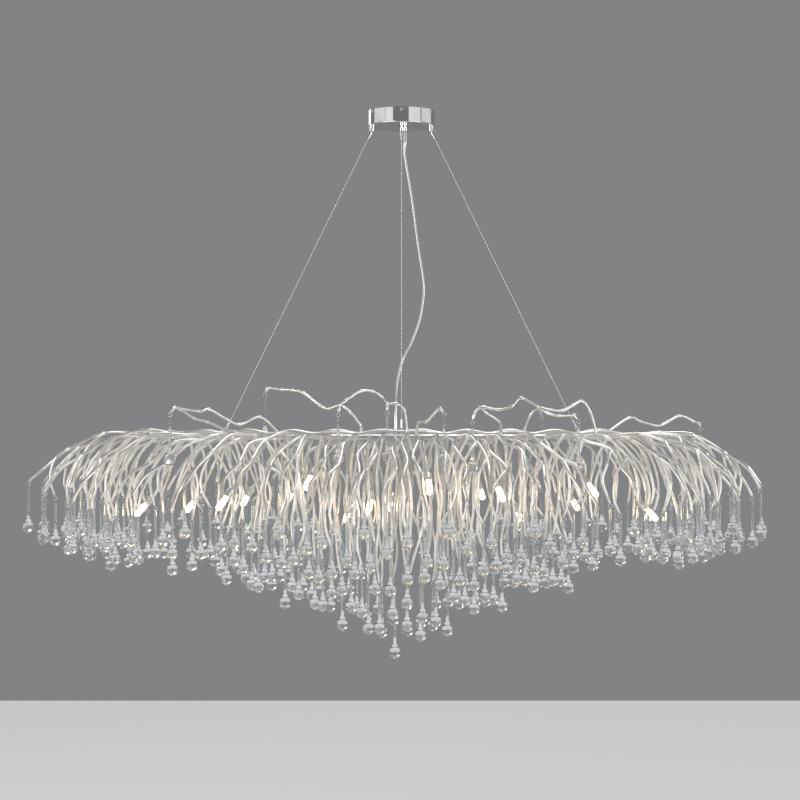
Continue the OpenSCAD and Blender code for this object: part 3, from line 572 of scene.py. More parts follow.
@dataclass
class Studio:
    """Camera, seamless paper and soft lamps."""

    eye: tuple[float, float, float] = (-0.0036, -4.33, -0.699)
    lens: float = 80.55
    film: float = 36.0
    floor_z: float = -2.3
    back_y: float = 5.2
    half_width: float = 3.4
    front_y: float = -2.6

    def camera(self) -> None:
        """Sets up the camera at the photograph's viewpoint, level and looking along +Y."""
        made = bpy.data.cameras.new("camera")
        made.sensor_fit = "HORIZONTAL"
        made.sensor_width = self.film
        made.lens = self.lens
        holder = bpy.data.objects.new("camera", made)
        holder.location = self.eye
        holder.rotation_euler = (np.pi / 2, 0.0, 0.0)
        bpy.context.scene.collection.objects.link(holder)
        bpy.context.scene.camera = holder

    def lamp(self, name: str, place: Colour, size: tuple[float, float], brightness: float,
             tone: Colour) -> None:
        """Adds a soft box that looks at the middle of the chandelier.

        Args:
            name: Name of the lamp.
            place: Its place in metres.
            size: Width and height of its face.
            brightness: How bright its face looks, where 1 is white; its power is that * pi * area.
            tone: Its colour.
        """
        light = bpy.data.lights.new(name, "AREA")
        light.shape = "RECTANGLE"
        light.size, light.size_y = size
        light.energy = brightness * np.pi * size[0] * size[1]
        light.color = tone
        holder = bpy.data.objects.new(name, light)
        holder.visible_camera = False
        aim = np.array([0.0, 0.0, -0.85]) - np.array(place)
        holder.location = place
        heading = np.arctan2(aim[1], aim[0]) - np.pi / 2
        holder.rotation_euler = (np.arccos(-aim[2] / np.linalg.norm(aim)), 0.0, heading)
        bpy.context.scene.collection.objects.link(holder)

    def floor(self, material: bpy.types.Material) -> None:
        """Lays the pale floor, a flat sheet whose far edge shows below the chandelier."""
        x = np.array([-self.half_width, self.half_width, self.half_width, -self.half_width])
        y = np.array([self.front_y, self.front_y, self.back_y, self.back_y])
        mesh = bpy.data.meshes.new("studio_floor")
        mesh.from_pydata(np.stack([x, y, np.full(4, self.floor_z)], axis=1), [], [[0, 1, 2, 3]])
        mesh.materials.append(material)
        made = bpy.data.objects.new("studio_floor", mesh)
        bpy.context.scene.collection.objects.link(made)

    def world(self) -> None:
        """Lights the scene evenly and faintly, as grey studio walls do."""
        world = bpy.data.worlds.new("studio")
        world.use_nodes = True
        around = world.node_tree.nodes["Background"]
        around.inputs["Color"].default_value = (0.80, 0.81, 0.83, 1.0)
        around.inputs["Strength"].default_value = 0.28
        bpy.context.scene.world = world
        bpy.context.scene.view_settings.view_transform = "Standard"

    def build(self) -> None:
        """Builds the whole studio."""
        self.camera()
        self.world()
        self.floor(Paper("studio_paper", (0.72, 0.72, 0.725), 0.7).make())
        self.lamp("lamp_left", (-3.0, -3.0, -1.0), (3.6, 2.2), 2.8, (1.0, 0.985, 0.96))
        self.lamp("lamp_right", (3.2, -2.8, -1.0), (3.6, 2.2), 2.5, (0.99, 0.99, 1.0))
        self.lamp("lamp_above", (0.3, 0.4, 2.3), (1.9, 1.9), 4.0, (1.0, 1.0, 1.0))
        self.lamp("lamp_behind", (-2.2, 3.2, 0.5), (1.4, 1.4), 3.0, (1.0, 1.0, 1.0))
        self.lamp("panel_left_front", (-3.0, -3.2, 0.95), (2.2, 1.3), 0.75, (1.0, 1.0, 1.0))
        self.lamp("panel_left_side", (-4.4, -0.5, 0.95), (4.2, 1.3), 0.65, (1.0, 1.0, 1.0))
        self.lamp("panel_right_front", (3.2, -3.0, 0.95), (3.6, 1.3), 0.7, (1.0, 1.0, 1.0))
        self.lamp("panel_right_side", (4.4, 0.6, 0.95), (4.2, 1.3), 0.6, (1.0, 1.0, 1.0))
        log.info("studio, camera and lamps are in place")


@dataclass
class Cords:
    """The clear supply cord with its two strain reliefs, and the lead inside the canopy."""

    cord_r: float = 3.0
    lead_r: float = 2.5
    relief_l: float = 26.0
    route: tuple[tuple[float, float, float], ...] = (
        (9.4, 0, -68), (9.4, 0, -76), (8, 4, -106), (24, 9, -203), (40, 12, -322), (53, 14, -407),
        (54, 14, -443), (46, 13, -498), (27, 12, -554), (4, 11, -600), (-8, 9, -646), (-12, 6, -678),
        (-13, 2, -706), (-14, 0, -731), (-14, 0, -738))
    lead_route: tuple[tuple[float, float, float], ...] = (
        (9.4, 0, -28.7), (9.4, 0, -24), (13, 7, -16), (19, 15, -13), (24, 18, -12), (29.7, 18, -12))

    def path(self, route: Sequence[Sequence[float]], steps: int) -> Array:
        """Curve through a route, with straight square ends between the first two and last two points."""
        points = np.array(route, dtype=float)
        return np.vstack([points[:1], smooth_curve(points[1:-1], steps), points[-1:]])

    def lay(self, name: str, route: Sequence[Sequence[float]], radius: float, steps: int,
            material: bpy.types.Material, body: Body, way: str) -> None:
        """Args:
            name: CAD node that the cord stands for.
            route: Its route points in millimetres.
            radius: Its radius.
            steps: Steps between two route points.
            material: Its material.
            body: Body that it rides on.
            way: How it lies, hanging or loose; not used.
        """
        path = self.path(route, steps)
        surface = Surface()
        surface.sweep(path[None], np.full((1, len(path)), radius), 20)
        cord = surface.piece(name + "_run")
        finish(cord, body.value, [name], material)

    def reliefs(self, material: bpy.types.Material) -> None:
        """Tapered sleeves where the cord leaves its swivel and enters the gland, with rounded lips."""
        wide, slim = self.cord_r + 1.3, self.cord_r + 0.5
        profile = np.array([[0.0, 0.0], [slim, 0.0], [slim + 0.3, 0.6], [wide, self.relief_l - 6], [wide, self.relief_l]])
        path = self.path(self.route, 8)
        surface = Surface()
        for end in (path, path[::-1]):
            gone = np.cumsum(np.linalg.norm(np.diff(end, axis=0, prepend=end[:1]), axis=1))
            wanted = np.linspace(0.2, self.relief_l, 9)
            points = np.stack([np.interp(wanted, gone, end[:, axis]) for axis in range(3)], axis=1)
            radii = np.interp(wanted, self.relief_l - profile[::-1, 1], profile[::-1, 0])
            surface.sweep(points[None], radii[None], 20)
        finish(surface.piece("cord_reliefs"), Body.FIXTURE.value, [], material)

    def build(self, finishes: Finishes) -> None:
        """Builds both cords."""
        self.lay("power_cord", self.route, self.cord_r, 8, finishes.cord, Body.FIXTURE, "hanging")
        self.lay("canopy_lead", self.lead_route, self.lead_r, 6, finishes.cord, Body.CANOPY, "loose")
        self.reliefs(finishes.cord)


@dataclass
class Canopy:
    """Polished cup on the ceiling with its screws, swivel bushes, bracket and terminal block."""

    radius: float = 80.0
    height: float = 38.0
    wall: float = 1.2
    soft: float = 2.2
    screw_count: int = 6
    screw_z: float = -8.0
    bush_x: float = 71.0
    cord_x: float = 9.4

    def shell(self, material: bpy.types.Material) -> None:
        """Spins the cup: from the middle of its floor out, round a soft corner, up the side and back inside."""
        corner = np.linspace(-np.pi / 2, 0, 7)
        middle = np.array([self.radius - self.soft, -self.height + self.soft])
        round_out = middle + self.soft * np.stack([np.cos(corner), np.sin(corner)], 1)
        wall = [[self.radius, 1.5 + self.soft - self.height], [self.radius, -2.6]]
        lip = [[self.radius, -1.2], [self.radius - 0.3, -0.5], [self.radius - self.wall, -0.5]]
        inside = [[self.radius - self.wall, -self.height + self.wall + 1], [40.0, -self.height + self.wall]]
        floor = [[12.0, -self.height], [40.0, -self.height], [66.0, -self.height]]
        profile = np.vstack([floor, round_out, wall, lip, inside, [[12.0, -self.height + self.wall]]])
        surface = Surface()
        surface.turn(np.zeros((1, 3)), np.array([[0.0, 0.0, 1.0]]), profile, 128)
        finish(surface.piece("canopy_cup", 50.0), Body.CANOPY.value, ["canopy_shell"], material)

    def screws(self, material: bpy.types.Material) -> None:
        """Turns the side screws: a domed head on a shank, pointing in."""
        turn = (np.arange(self.screw_count) + 0.5) * 2 * np.pi / self.screw_count
        out = np.stack([np.cos(turn), np.sin(turn), np.zeros_like(turn)], 1)
        places = out * self.radius + [0, 0, self.screw_z]
        profile = np.array([[1.7, -6.0], [1.7, 0.3], [3.4, 0.35], [3.4, 1.1], [2.9, 1.75], [1.7, 2.1], [0.9, 1.9]])
        surface = Surface()
        surface.turn(places, out, profile, 20)
        finish(surface.piece("canopy_side_screws"), Body.CANOPY.value, ["canopy_screws"], material)

    def build(self, finishes: Finishes) -> None:
        """Builds the cup and screws and dresses what the CAD shows well."""
        self.shell(finishes.chrome)
        self.screws(finishes.chrome)
        dress(["side_bushes", "centre_bush"], finishes.chrome)
        dress(["ceiling_bracket", "bush_nuts"], finishes.zinc)
        dress(["earth_screw"], finishes.brass)
        dress(["terminal_block"], finishes.plastic)


@dataclass
class Suspension:
    """Three wires with their grippers, release plungers and anchors."""

    top_x: float = 71.0
    foot_x: float = 424.0
    top_z: float = -47.0
    foot_z: float = -769.5
    wire_r: float = 0.75
    twist: float = 9.0
    strands: int = 6
    start: float = 5.8
    stop: float = 12.3

    def wire(self, name: str, top: Array, foot: Array, material: bpy.types.Material) -> None:
        """Twists one wire: its radius swells over each strand, and the strands turn along its length.

        Args:
            name: CAD node that the wire stands for.
            top: Middle of its swivel.
            foot: Middle of its anchor's ball.
            material: Its material.
        """
        span = foot - top
        far = float(np.linalg.norm(span))
        way = span / far
        gone = np.arange(self.start, far - self.stop, 4.0)
        around = np.arange(12) * 2 * np.pi / 12
        side = unit(np.cross(way, [0.0, 1.0, 0.0]))
        up = np.cross(way, side)
        lobes = np.abs(np.cos(self.strands / 2 * around))
        radius = self.wire_r * (0.8 + 0.2 * lobes)
        angle = around[None, :] + 2 * np.pi * gone[:, None] / (self.twist * self.strands)
        spoke = np.cos(angle)[..., None] * side + np.sin(angle)[..., None] * up
        rings = (top + gone[:, None, None] * way) + radius[None, :, None] * spoke
        surface = Surface()
        index = np.arange(rings[..., 0].size).reshape(rings.shape[:2])
        turned = np.roll(index, -1, axis=1)
        surface.faces += np.stack([index[:-1], turned[:-1], turned[1:], index[1:]], -1).reshape(-1, 4).tolist()
        surface.faces += [index[0, ::-1].tolist(), index[-1].tolist()]
        surface.points.append(rings.reshape(-1, 3))
        surface.around.append(np.repeat(gone, rings.shape[1]))
        finish(surface.piece(name + "_strand", 60.0), Body.FIXTURE.value, [name], material)

    def build(self, finishes: Finishes) -> None:
        """Builds the wires and dresses the fittings at their ends."""
        for name, sign in (("wire_left", -1), ("wire_centre", 0), ("wire_right", 1)):
            top = np.array([sign * self.top_x, 0.0, self.top_z])
            foot = np.array([sign * self.foot_x, 0.0, self.foot_z])
            self.wire(name, top, foot, finishes.steel)
        dress(["wire_grippers", "wire_anchors", "cord_sleeve", "cord_gland"], finishes.chrome)
        dress(["release_plunger_left", "release_plunger_centre", "release_plunger_right"], finishes.chrome)
        dress(["box_nuts", "cover_screws"], finishes.zinc)
        dress(["junction_box", "junction_cover", "connector_block"], finishes.plastic)


@dataclass
class Limbs:
    """Arcs of circles, each kept as its start, end and the bow of its middle off the chord."""

    start: Array
    end: Array
    bow: Array

    def shape(self) -> tuple[Array, Array, Array, Array, Array]:
        """Half angle, radius, centre and the unit directions of chord and bow."""
        chord = self.end - self.start
        length = np.linalg.norm(chord, axis=-1, keepdims=True)
        rise = np.linalg.norm(self.bow, axis=-1, keepdims=True)
        half = 2 * np.arctan(2 * rise / length)
        radius = (length ** 2 / 4 + rise ** 2) / (2 * rise)
        across = self.bow / rise
        return half, radius, (self.start + self.end) / 2 + across * (rise - radius), chord / length, across

    def at(self, share: Array) -> Array:
        """Points at shares of each arc: centre + radius * (chord * sin a + bow * cos a)."""
        half, radius, centre, chord, across = (part[..., None, :] for part in self.shape())
        angle = half * (2 * share[..., None] - 1)
        return centre + radius * (chord * np.sin(angle) + across * np.cos(angle))

    def heading_out(self) -> Array:
        """Unit direction in which each arc runs at its end."""
        half, _, _, chord, across = self.shape()
        return chord * np.cos(half) - across * np.sin(half)

    def length(self) -> Array:
        """Length of each arc."""
        half, radius, *_ = self.shape()
        return (2 * half * radius)[..., 0]


@dataclass
class Thicket:
    """Layout of the branches, their twigs and the eyes at their ends, with the CAD source's formulas."""

    planes: int = 72
    ring_z: float = -788.0
    ring_half_l: float = 549.0
    ring_half_w: float = 35.0
    bar_r: float = 6.0
    root_off: float = 5.0
    reach: tuple[float, float] = (886.0, 282.0)
    lean: tuple[float, float] = (-12.0, 0.0)
    edge_drop: float = 117.0
    end_dip: float = 105.0
    middle_dip: float = 190.0
    scatter: float = 22.0
    sway: float = 18.0
    shake: float = 8.0
    branch_lift: float = 0.17
    twig_lift: float = 0.13
    leave_at: tuple[float, ...] = (0.66, 0.42, 0.20)
    middle_shares: tuple[tuple[float, ...], ...] = ((1, 0.74, 0.46, 0.18), (0.87, 0.60, 0.32, 0.06))
    end_shares: tuple[tuple[float, ...], ...] = ((1, 0.82, 0.68, 0.56), (0.91, 0.75, 0.60, 0.45))
    end_limit: float = 0.72
    eye_r: float = 3.2
    eye_w: float = 3.0
    seat: float = 0.3
    link_d: float = 9.0
    link_sag: float = 0.643

    def heading(self, plane: Array) -> Array:
        """Direction of a plane in radians; the planes stand closer where the ring is straight."""
        turn = 2 * np.pi * (plane + 0.5) / self.planes
        return turn + np.radians(14.3 * np.sin(2 * turn) + 1.7 * np.sin(4 * turn))

    def root(self, heading: Array) -> Array:
        """Point on a stadium outline that stands off the ring's bar."""
        off = self.bar_r + self.root_off
        half_l, half_w = self.ring_half_l + off, self.ring_half_w + off
        x = half_l * np.cos(heading)
        over = np.maximum(0, np.abs(x) - (half_l - half_w))
        y = np.sign(np.sin(heading)) * np.sqrt(np.maximum(half_w ** 2 - over ** 2, 0))
        return np.stack([x, y], -1)

    def on_ring(self, heading: Array) -> Array:
        """Point on the ring's centre line, straight inward from a root point."""
        root = self.root(heading)
        straight = self.ring_half_l - self.ring_half_w
        core = np.stack([np.clip(root[..., 0], -straight, straight), np.zeros_like(root[..., 0])], -1)
        return root - unit(root - core) * (self.bar_r + self.root_off)

    def reaching(self, heading: Array, share: Array) -> Array:
        """Point at a share of the way from a root to its outermost reach."""
        root = self.root(heading)
        far = np.stack([self.reach[0] * np.cos(heading), self.reach[1] * np.sin(heading)], -1)
        return root + (far - root + np.array(self.lean)) * np.asarray(share)[..., None]

    def tip(self, plane: Array, share: Array, key: float) -> Array:
        """End of a limb: its place in plan, and a height that dips towards the middle of the thicket."""
        heading = self.heading(plane)
        dip = self.end_dip + self.middle_dip * (1 - np.abs(np.cos(heading))) ** 2
        z = self.ring_z - self.edge_drop - (1 - share) * dip + self.scatter * jitter(plane, key)
        return np.concatenate([self.reaching(heading, share), z[..., None]], axis=-1)

    def bow(self, start: Array, end: Array, lift: float, plane: Array, key: float) -> Array:
        """Bow of a limb: outward and up by a share of its length, swayed like its neighbours, and shaken."""
        chord = end - start
        long = np.linalg.norm(chord, axis=-1, keepdims=True)
        middle = (start + end) / 2
        out = np.linalg.norm(chord[..., :2], axis=-1, keepdims=True)
        slope = np.concatenate([0.6 * chord[..., :2] / np.maximum(out, 1e-9), np.full_like(out, 0.8)], axis=-1)
        up = np.where(out < 1, [0.0, 0.0, 1.0], unit(slope))
        wave = np.sin(2 * np.pi * (middle[..., 2] / 150 + middle[..., 1] / 210 + middle[..., 0] / 330))
        raw = up * lift * long
        raw[..., 0] += self.sway * wave + self.shake * jitter(plane, key)
        raw[..., 1] += 0.4 * self.shake * jitter(plane, key + 1)
        flat = unit(chord)
        side = raw - flat * (raw * flat).sum(axis=-1, keepdims=True)
        size = np.linalg.norm(side, axis=-1, keepdims=True)
        return side * np.maximum(size, 5) / size

    def limbs(self, planes: Array) -> tuple[Limbs, Limbs]:
        """Branches of some planes, and their twigs as planes x 3."""
        heading = self.heading(planes)
        near_end = np.abs(np.sin(heading)) < self.end_limit
        odd = (planes % 2).astype(int)
        shares = np.where(near_end[:, None], np.array(self.end_shares)[odd], np.array(self.middle_shares)[odd])
        root = self.root(heading)
        start = np.concatenate([root, np.full((len(planes), 1), self.ring_z)], axis=1)
        end = self.tip(planes, shares[:, 0], 1)
        mains = Limbs(start, end, self.bow(start, end, self.branch_lift, planes, 3))
        leave = mains.at(np.tile(self.leave_at, (len(planes), 1)))
        ends = np.stack([self.tip(planes, shares[:, t], 5 + 6 * t) for t in (1, 2, 3)], axis=1)
        bows = [self.bow(leave[:, t - 1], ends[:, t - 1], self.twig_lift, planes, 11 + 7 * t) for t in (1, 2, 3)]
        return mains, Limbs(leave, ends, np.stack(bows, axis=1))

    def eyes_past(self, ends: Array, heading: Array) -> Array:
        """Centres of the eyes past square-cut ends, clear of them by the seat."""
        x = heading[..., :1]
        return ends + heading * (self.eye_r * np.sqrt(1 - x ** 2) + self.eye_w / 2 * np.abs(x) + self.seat)

    def eyes(self) -> Array:
        """Centres of all branch and twig eyes, as planes x 4 x 3."""
        mains, twigs = self.limbs(np.arange(self.planes, dtype=float))
        own = self.eyes_past(mains.end, mains.heading_out())[:, None]
        return np.concatenate([own, self.eyes_past(twigs.end, twigs.heading_out())], axis=1)


@dataclass
class KeepOff:
    """Straight round bars that the rods' kinks stay clear of: drops' stems, their balls and the lamps."""

    start: Array
    end: Array
    radius: Array

    def clearance(self, paths: Array) -> Array:
        """Least gap between each path's centre line and the bars.

        The distance to a bar from a to b is |p - a - t (b - a)|, where t is the share along it, 0 to 1.

        Args:
            paths: Points, as paths x points x 3.

        Returns:
            The least distance of each path, less the bar's radius.
        """
        span = self.end - self.start
        size = np.maximum((span ** 2).sum(axis=-1), 1e-9)
        off = paths[..., None, :] - self.start
        share = np.clip((off * span).sum(axis=-1) / size, 0.0, 1.0)
        gap = np.linalg.norm(off - share[..., None] * span, axis=-1) - self.radius
        return gap.min(axis=(-2, -1))


@dataclass
class Branches:
    """Kinked branches and twigs, one piece for each group of six planes."""

    layout: Thicket
    keep_off: KeepOff
    branch_r: float = 4.0
    twig_r: float = 3.35
    sides: int = 10
    collar: float = 0.18
    branch_kinks: tuple[float, ...] = (0.20, 0.42, 0.66, 0.86)
    twig_kinks: tuple[float, ...] = (0.28, 0.58, 0.85)
    branch_kink: float = 12.0
    twig_kink: float = 8.0
    collar_steps: tuple[float, ...] = (-3.4, -1.4, 1.4, 3.4)
    between: int = 5
    full_kink_at: float = 260.0
    calmer: tuple[float, ...] = (0.25, 0.5, 0.75, 1.0)
    margin: float = 1.0

    def kinked(self, limbs: Limbs, kinks: Sequence[float], size: float, radius: float, keys: Array,
               root_swell: float, shift: Array, calm: Array) -> tuple[Array, Array]:
        """Paths and radii of limbs that bend at knots.

        A limb is its arc plus a sum of soft hats: at each knot the path is pushed off the arc by a
        scattered amount, which falls off to nothing at the next knots as 3 h^2 - 2 h^3.

        Args:
            limbs: The arcs.
            kinks: Shares of the arc at which the knots sit.
            size: Largest push.
            radius: Radius of the rod.
            keys: Number of each limb, for the scatter.
            root_swell: Share by which the rod is thicker where it leaves its parent.
            shift: Push of the limb's start, to follow its parent's knots.
            calm: Share of the push that each limb gets.

        Returns:
            Points as limbs x rings x 3, and radii as limbs x rings.
        """
        length = limbs.length()[:, None]
        knots = np.array(kinks)
        near = knots[:, None] + np.zeros((len(length), 1, 1))
        steps = np.array(self.collar_steps) / length[..., None]
        rings = (near + steps).reshape(len(length), -1)
        marks = np.concatenate([[0.0], knots, [1.0]])
        part = (np.arange(self.between) + 1) / (self.between + 1)
        middles = (marks[:-1, None] + np.diff(marks)[:, None] * part).reshape(-1)
        extra = np.concatenate([[0.0], middles, [0.985, 1.0]])
        share = np.sort(np.concatenate([rings, np.tile(extra, (len(length), 1))], axis=1), axis=1)
        share = np.clip(share, 0.0, 1.0)
        spacing = np.diff(np.concatenate([[0.0], knots, [1.0]]))
        rise = (share[..., None] - knots + spacing[:-1]) / spacing[:-1]
        fall = (knots + spacing[1:] - share[..., None]) / spacing[1:]
        hats = np.clip(np.minimum(rise, fall), 0.0, 1.0)
        hats = hats ** 2 * (3 - 2 * hats)
        order = np.arange(len(knots))
        swing = np.where(order % 2, 1.0, -1.0) * (0.55 + 0.45 * jitter(keys[:, None], 40.0 + order))
        cross = jitter(keys[:, None], 60.0 + order)
        fade = np.minimum(1.0, 4 * np.minimum(knots, 1 - knots))
        _, _, _, chord, across = limbs.shape()
        third = np.cross(chord, across)
        size = size * (np.clip(length / self.full_kink_at, 0.25, 1.0) * calm[:, None])[..., None]
        push = size * ((hats * swing[:, None] * fade).sum(-1)[..., None] * third[:, None]
                       + 0.7 * (hats * cross[:, None] * fade).sum(-1)[..., None] * across[:, None])
        path = limbs.at(share) + push + shift[:, None] * ((1 - share) ** 2)[..., None]
        reach = np.abs(share[..., None] - knots) * length[..., None]
        bump = np.interp(reach, [0, 1.4, 3.4, 7.0], [1.0, 1.0, 0.2, 0.0])
        strength = 0.7 + 0.5 * jitter(keys[:, None], 80.0 + order)
        swell = (bump * np.clip(strength, 0.15, 1.2)[:, None]).max(-1) * self.collar
        gone = share * length
        start = root_swell * np.clip(1 - gone / 16.0, 0.0, 1.0)
        last = 0.16 * np.clip(1 - (length - gone) / 3.0, 0.0, 1.0)
        slim = 1.06 - 0.12 * share
        return path, radius * (slim + swell + start + last)

    def settled(self, limbs: Limbs, kinks: Sequence[float], size: float, radius: float, keys: Array,
                root_swell: float, shift: Array) -> tuple[Array, Array]:
        """Kinked limbs, each with the largest of a few shares of its push that clears drops and lamps.

        Args:
            limbs: The arcs.
            kinks: Shares of the arc at which the knots sit.
            size: Largest push.
            radius: Radius of the rod.
            keys: Number of each limb, for the scatter.
            root_swell: Share by which the rod is thicker where it leaves its parent.
            shift: Push of the limb's start.

        Returns:
            Points and radii, as from kinked.
        """
        calm = np.zeros(len(keys))
        for share in self.calmer:
            paths, _ = self.kinked(limbs, kinks, size, radius, keys, root_swell, shift,
                                   np.full(len(keys), share))
            calm = np.where(self.keep_off.clearance(paths) > radius + self.margin, share, calm)
        log.info("kinks of %d limbs keep %.2f of their push", len(keys), calm.mean())
        return self.kinked(limbs, kinks, size, radius, keys, root_swell, shift, calm)

    def pushed(self, mains: Limbs, paths: Array) -> Array:
        """How far each branch's knots have moved the points where its twigs leave."""
        share = np.array(self.layout.leave_at)
        true = mains.at(np.tile(share, (len(paths), 1)))
        gap = np.linalg.norm(paths[:, None] - true[:, :, None], axis=-1)
        nearest = gap.argmin(axis=-1)
        return np.take_along_axis(paths, nearest[..., None], axis=1) - true

    def group(self, name: str, planes: Array, material: bpy.types.Material) -> None:
        """Builds the branches of one group.

        Args:
            name: CAD node that the piece stands for.
            planes: Numbers of its planes.
            material: Its material.
        """
        mains, twigs = self.layout.limbs(planes)
        surface = Surface()
        out = unit(mains.start - np.concatenate(
            [self.layout.on_ring(self.layout.heading(planes)), mains.start[:, 2:]], axis=1))
        path, radii = self.settled(mains, self.branch_kinks, self.branch_kink, self.branch_r, planes, 0.2,
                                   np.zeros_like(mains.start))
        shift = self.pushed(mains, path)
        path[:, 0] -= out * (self.layout.root_off + 1.5)
        path[:, -1] += mains.heading_out() * 0.5
        self.capped(surface, path, radii)
        flat = Limbs(*(part.reshape(-1, 3) for part in (twigs.start, twigs.end, twigs.bow)))
        keys = (planes[:, None] * 3 + np.array([101.0, 102.0, 103.0])).reshape(-1)
        path, radii = self.settled(flat, self.twig_kinks, self.twig_kink, self.twig_r, keys, 0.75,
                                   shift.reshape(-1, 3))
        path[:, -1] += flat.heading_out() * 0.5
        self.capped(surface, path, radii)
        finish(surface.piece(name + "_rods", 45.0), Body.FIXTURE.value, [name], material)

    def capped(self, surface: Surface, path: Array, radii: Array) -> None:
        """Adds rods whose square ends have a small chamfer."""
        along = tangents(path)
        path = np.concatenate([path[:, :1], path, path[:, -1:]], axis=1)
        along = np.concatenate([along[:, :1], along, along[:, -1:]], axis=1)
        path[:, 1] += along[:, 1] * 0.5
        path[:, -2] -= along[:, -2] * 0.5
        radii = np.concatenate([radii[:, :1] * 0.8, radii, radii[:, -1:] * 0.8], axis=1)
        gone = np.cumsum(np.linalg.norm(np.diff(path, axis=1, prepend=path[:, :1]), axis=2), axis=1)
        surface.skin(path, along, sideways(along), radii, self.sides, Ends.POLES, gone)

    def build(self, finishes: Finishes) -> None:
        """Builds the twelve groups."""
        names = ["branches_right_end", *(f"branches_back_{i}" for i in range(1, 6)),
                 "branches_left_end", *(f"branches_front_{i}" for i in range(1, 6))]
        size = self.layout.planes // len(names)
        for group, name in enumerate(names):
            planes = (np.arange(size) + group * size - size // 2) % self.layout.planes
            self.group(name, planes.astype(float), finishes.satin)


@dataclass
class Arches:
    """Kinked rods that rise from the ring in loose arches, some of them forked.

    Points are [x, y towards the front, height above the ring's centre line].
    """

    layout: Thicket
    rod_r: float = 3.3
    sides: int = 10
    collar: float = 0.4
    rods: dict[str, tuple[tuple[float, float, float], ...]] = field(default_factory=lambda: {
        "a": ((-299, 35, 6.3), (-299, 35, 14), (-337, 58, 48), (-384, 78, 31), (-414, 92, 44),
              (-453, 112, 67), (-473, 130, 62), (-526, 180, 72), (-534, 188, 62)),
        "b": ((-98, -35, 6.3), (-98, -35, 24), (-126, -58, 60), (-152, -70, 76), (-180, -82, 68),
              (-202, -90, 76), (-242, -108, 106), (-272, -122, 114), (-300, -134, 116),
              (-333, -152, 120), (-340, -157, 110)),
        "c": ((14, 35, 6.3), (14, 35, 14), (7, 44, 64), (-11, 50, 79), (-32, 54, 81), (-46, 70, 96),
              (-66, 84, 109), (-96, 96, 110), (-132, 114, 87), (-146, 127, 72), (-148, 129, 62)),
        "c_spur": ((-32, 54, 81), (-33, 60, 78), (-34, 64, 74), (-34, 65, 66)),
        "d": ((36, 35, 6.3), (36, 35, 14), (42, 54, 36), (60, 78, 38), (90, 104, 70), (98, 110, 62)),
        "e": ((238, 35, 6.3), (238, 35, 14), (234, 62, 36), (202, 84, 58), (184, 96, 70),
              (171, 94, 54), (169, 94, 44)),
        "f_low": ((321, 96, 76), (326, 98, 72), (345, 104, 58), (370, 122, 52), (404, 148, 54),
                  (411, 151, 46)),
        "g": ((300, -35, 6.3), (300, -35, 14), (318, -62, 53), (336, -88, 66), (346, -110, 62),
              (348, -115, 54)),
        "i": ((508, -35, 6.3), (508, -35, 14), (560, -58, 46), (590, -74, 36), (634, -96, 26),
              (660, -106, 35), (694, -120, 50), (730, -138, 36), (744, -148, 32), (748, -151, 24)),
        "a_low": ((-398, 35, 6.3), (-398, 35, 14), (-424, 60, 20), (-457, 100, 37), (-487, 132, 47),
                  (-510, 162, 66), (-521, 175, 70)),
        "f": ((184, 96, 70), (196, 98, 72), (230, 104, 66), (260, 104, 74), (283, 100, 94),
              (321, 96, 76), (356, 84, 66), (384, 76, 64), (408, 68, 76), (432, 58, 86), (452, 46, 60),
              (466, 35, 16), (466, 35, 6.3)),
    })
    without_drop: tuple[str, ...] = ("a_low", "f")

    def points(self, name: str) -> Array:
        """A rod's points in the frame's directions."""
        rows = np.array(self.rods[name], dtype=float)
        return np.stack([rows[:, 0], -rows[:, 1], self.layout.ring_z + rows[:, 2]], axis=1)

    def ends(self) -> tuple[Array, Array]:
        """Ends of the rods that carry a drop, and their directions."""
        ends = [self.points(name)[-2:] for name in self.rods if name not in self.without_drop]
        pairs = np.array(ends)
        return pairs[:, 1], unit(pairs[:, 1] - pairs[:, 0])

    def rod(self, surface: Surface, points: Array) -> None:
        """Adds one rod: a smooth curve through its points, thicker by a bell-shaped collar at each.

        The radius is the rod's times 1 + 0.4 * exp(-(distance to the nearest point / 3 mm) squared).
        """
        way = unit(np.diff(points, axis=0)[[0, -1]])
        bend = smooth_curve(points[1:-1], 10)
        path = np.vstack([points[:1] - way[:1] * 1.2, points[:1] + way[:1] * 0.6, bend,
                          points[-1:] - way[1:] * 1.5, points[-1:] + way[1:] * 0.4])
        near = np.linalg.norm(path[:, None] - points[None, 1:-1], axis=-1).min(axis=1)
        radii = self.rod_r * (1 + self.collar * np.exp(-(near / 3.0) ** 2))
        radii[[0, 1, -2, -1]] = self.rod_r * np.array([1.3, 1.25, 1.16, 1.1])
        surface.sweep(path[None], radii[None], self.sides)

    def build(self, finishes: Finishes) -> None:
        """Builds the arches as one piece."""
        surface = Surface()
        for name in self.rods:
            self.rod(surface, self.points(name))
        piece = surface.piece("top_arch_rods", 45.0)
        finish(piece, Body.FIXTURE.value, ["top_arches"], finishes.satin)


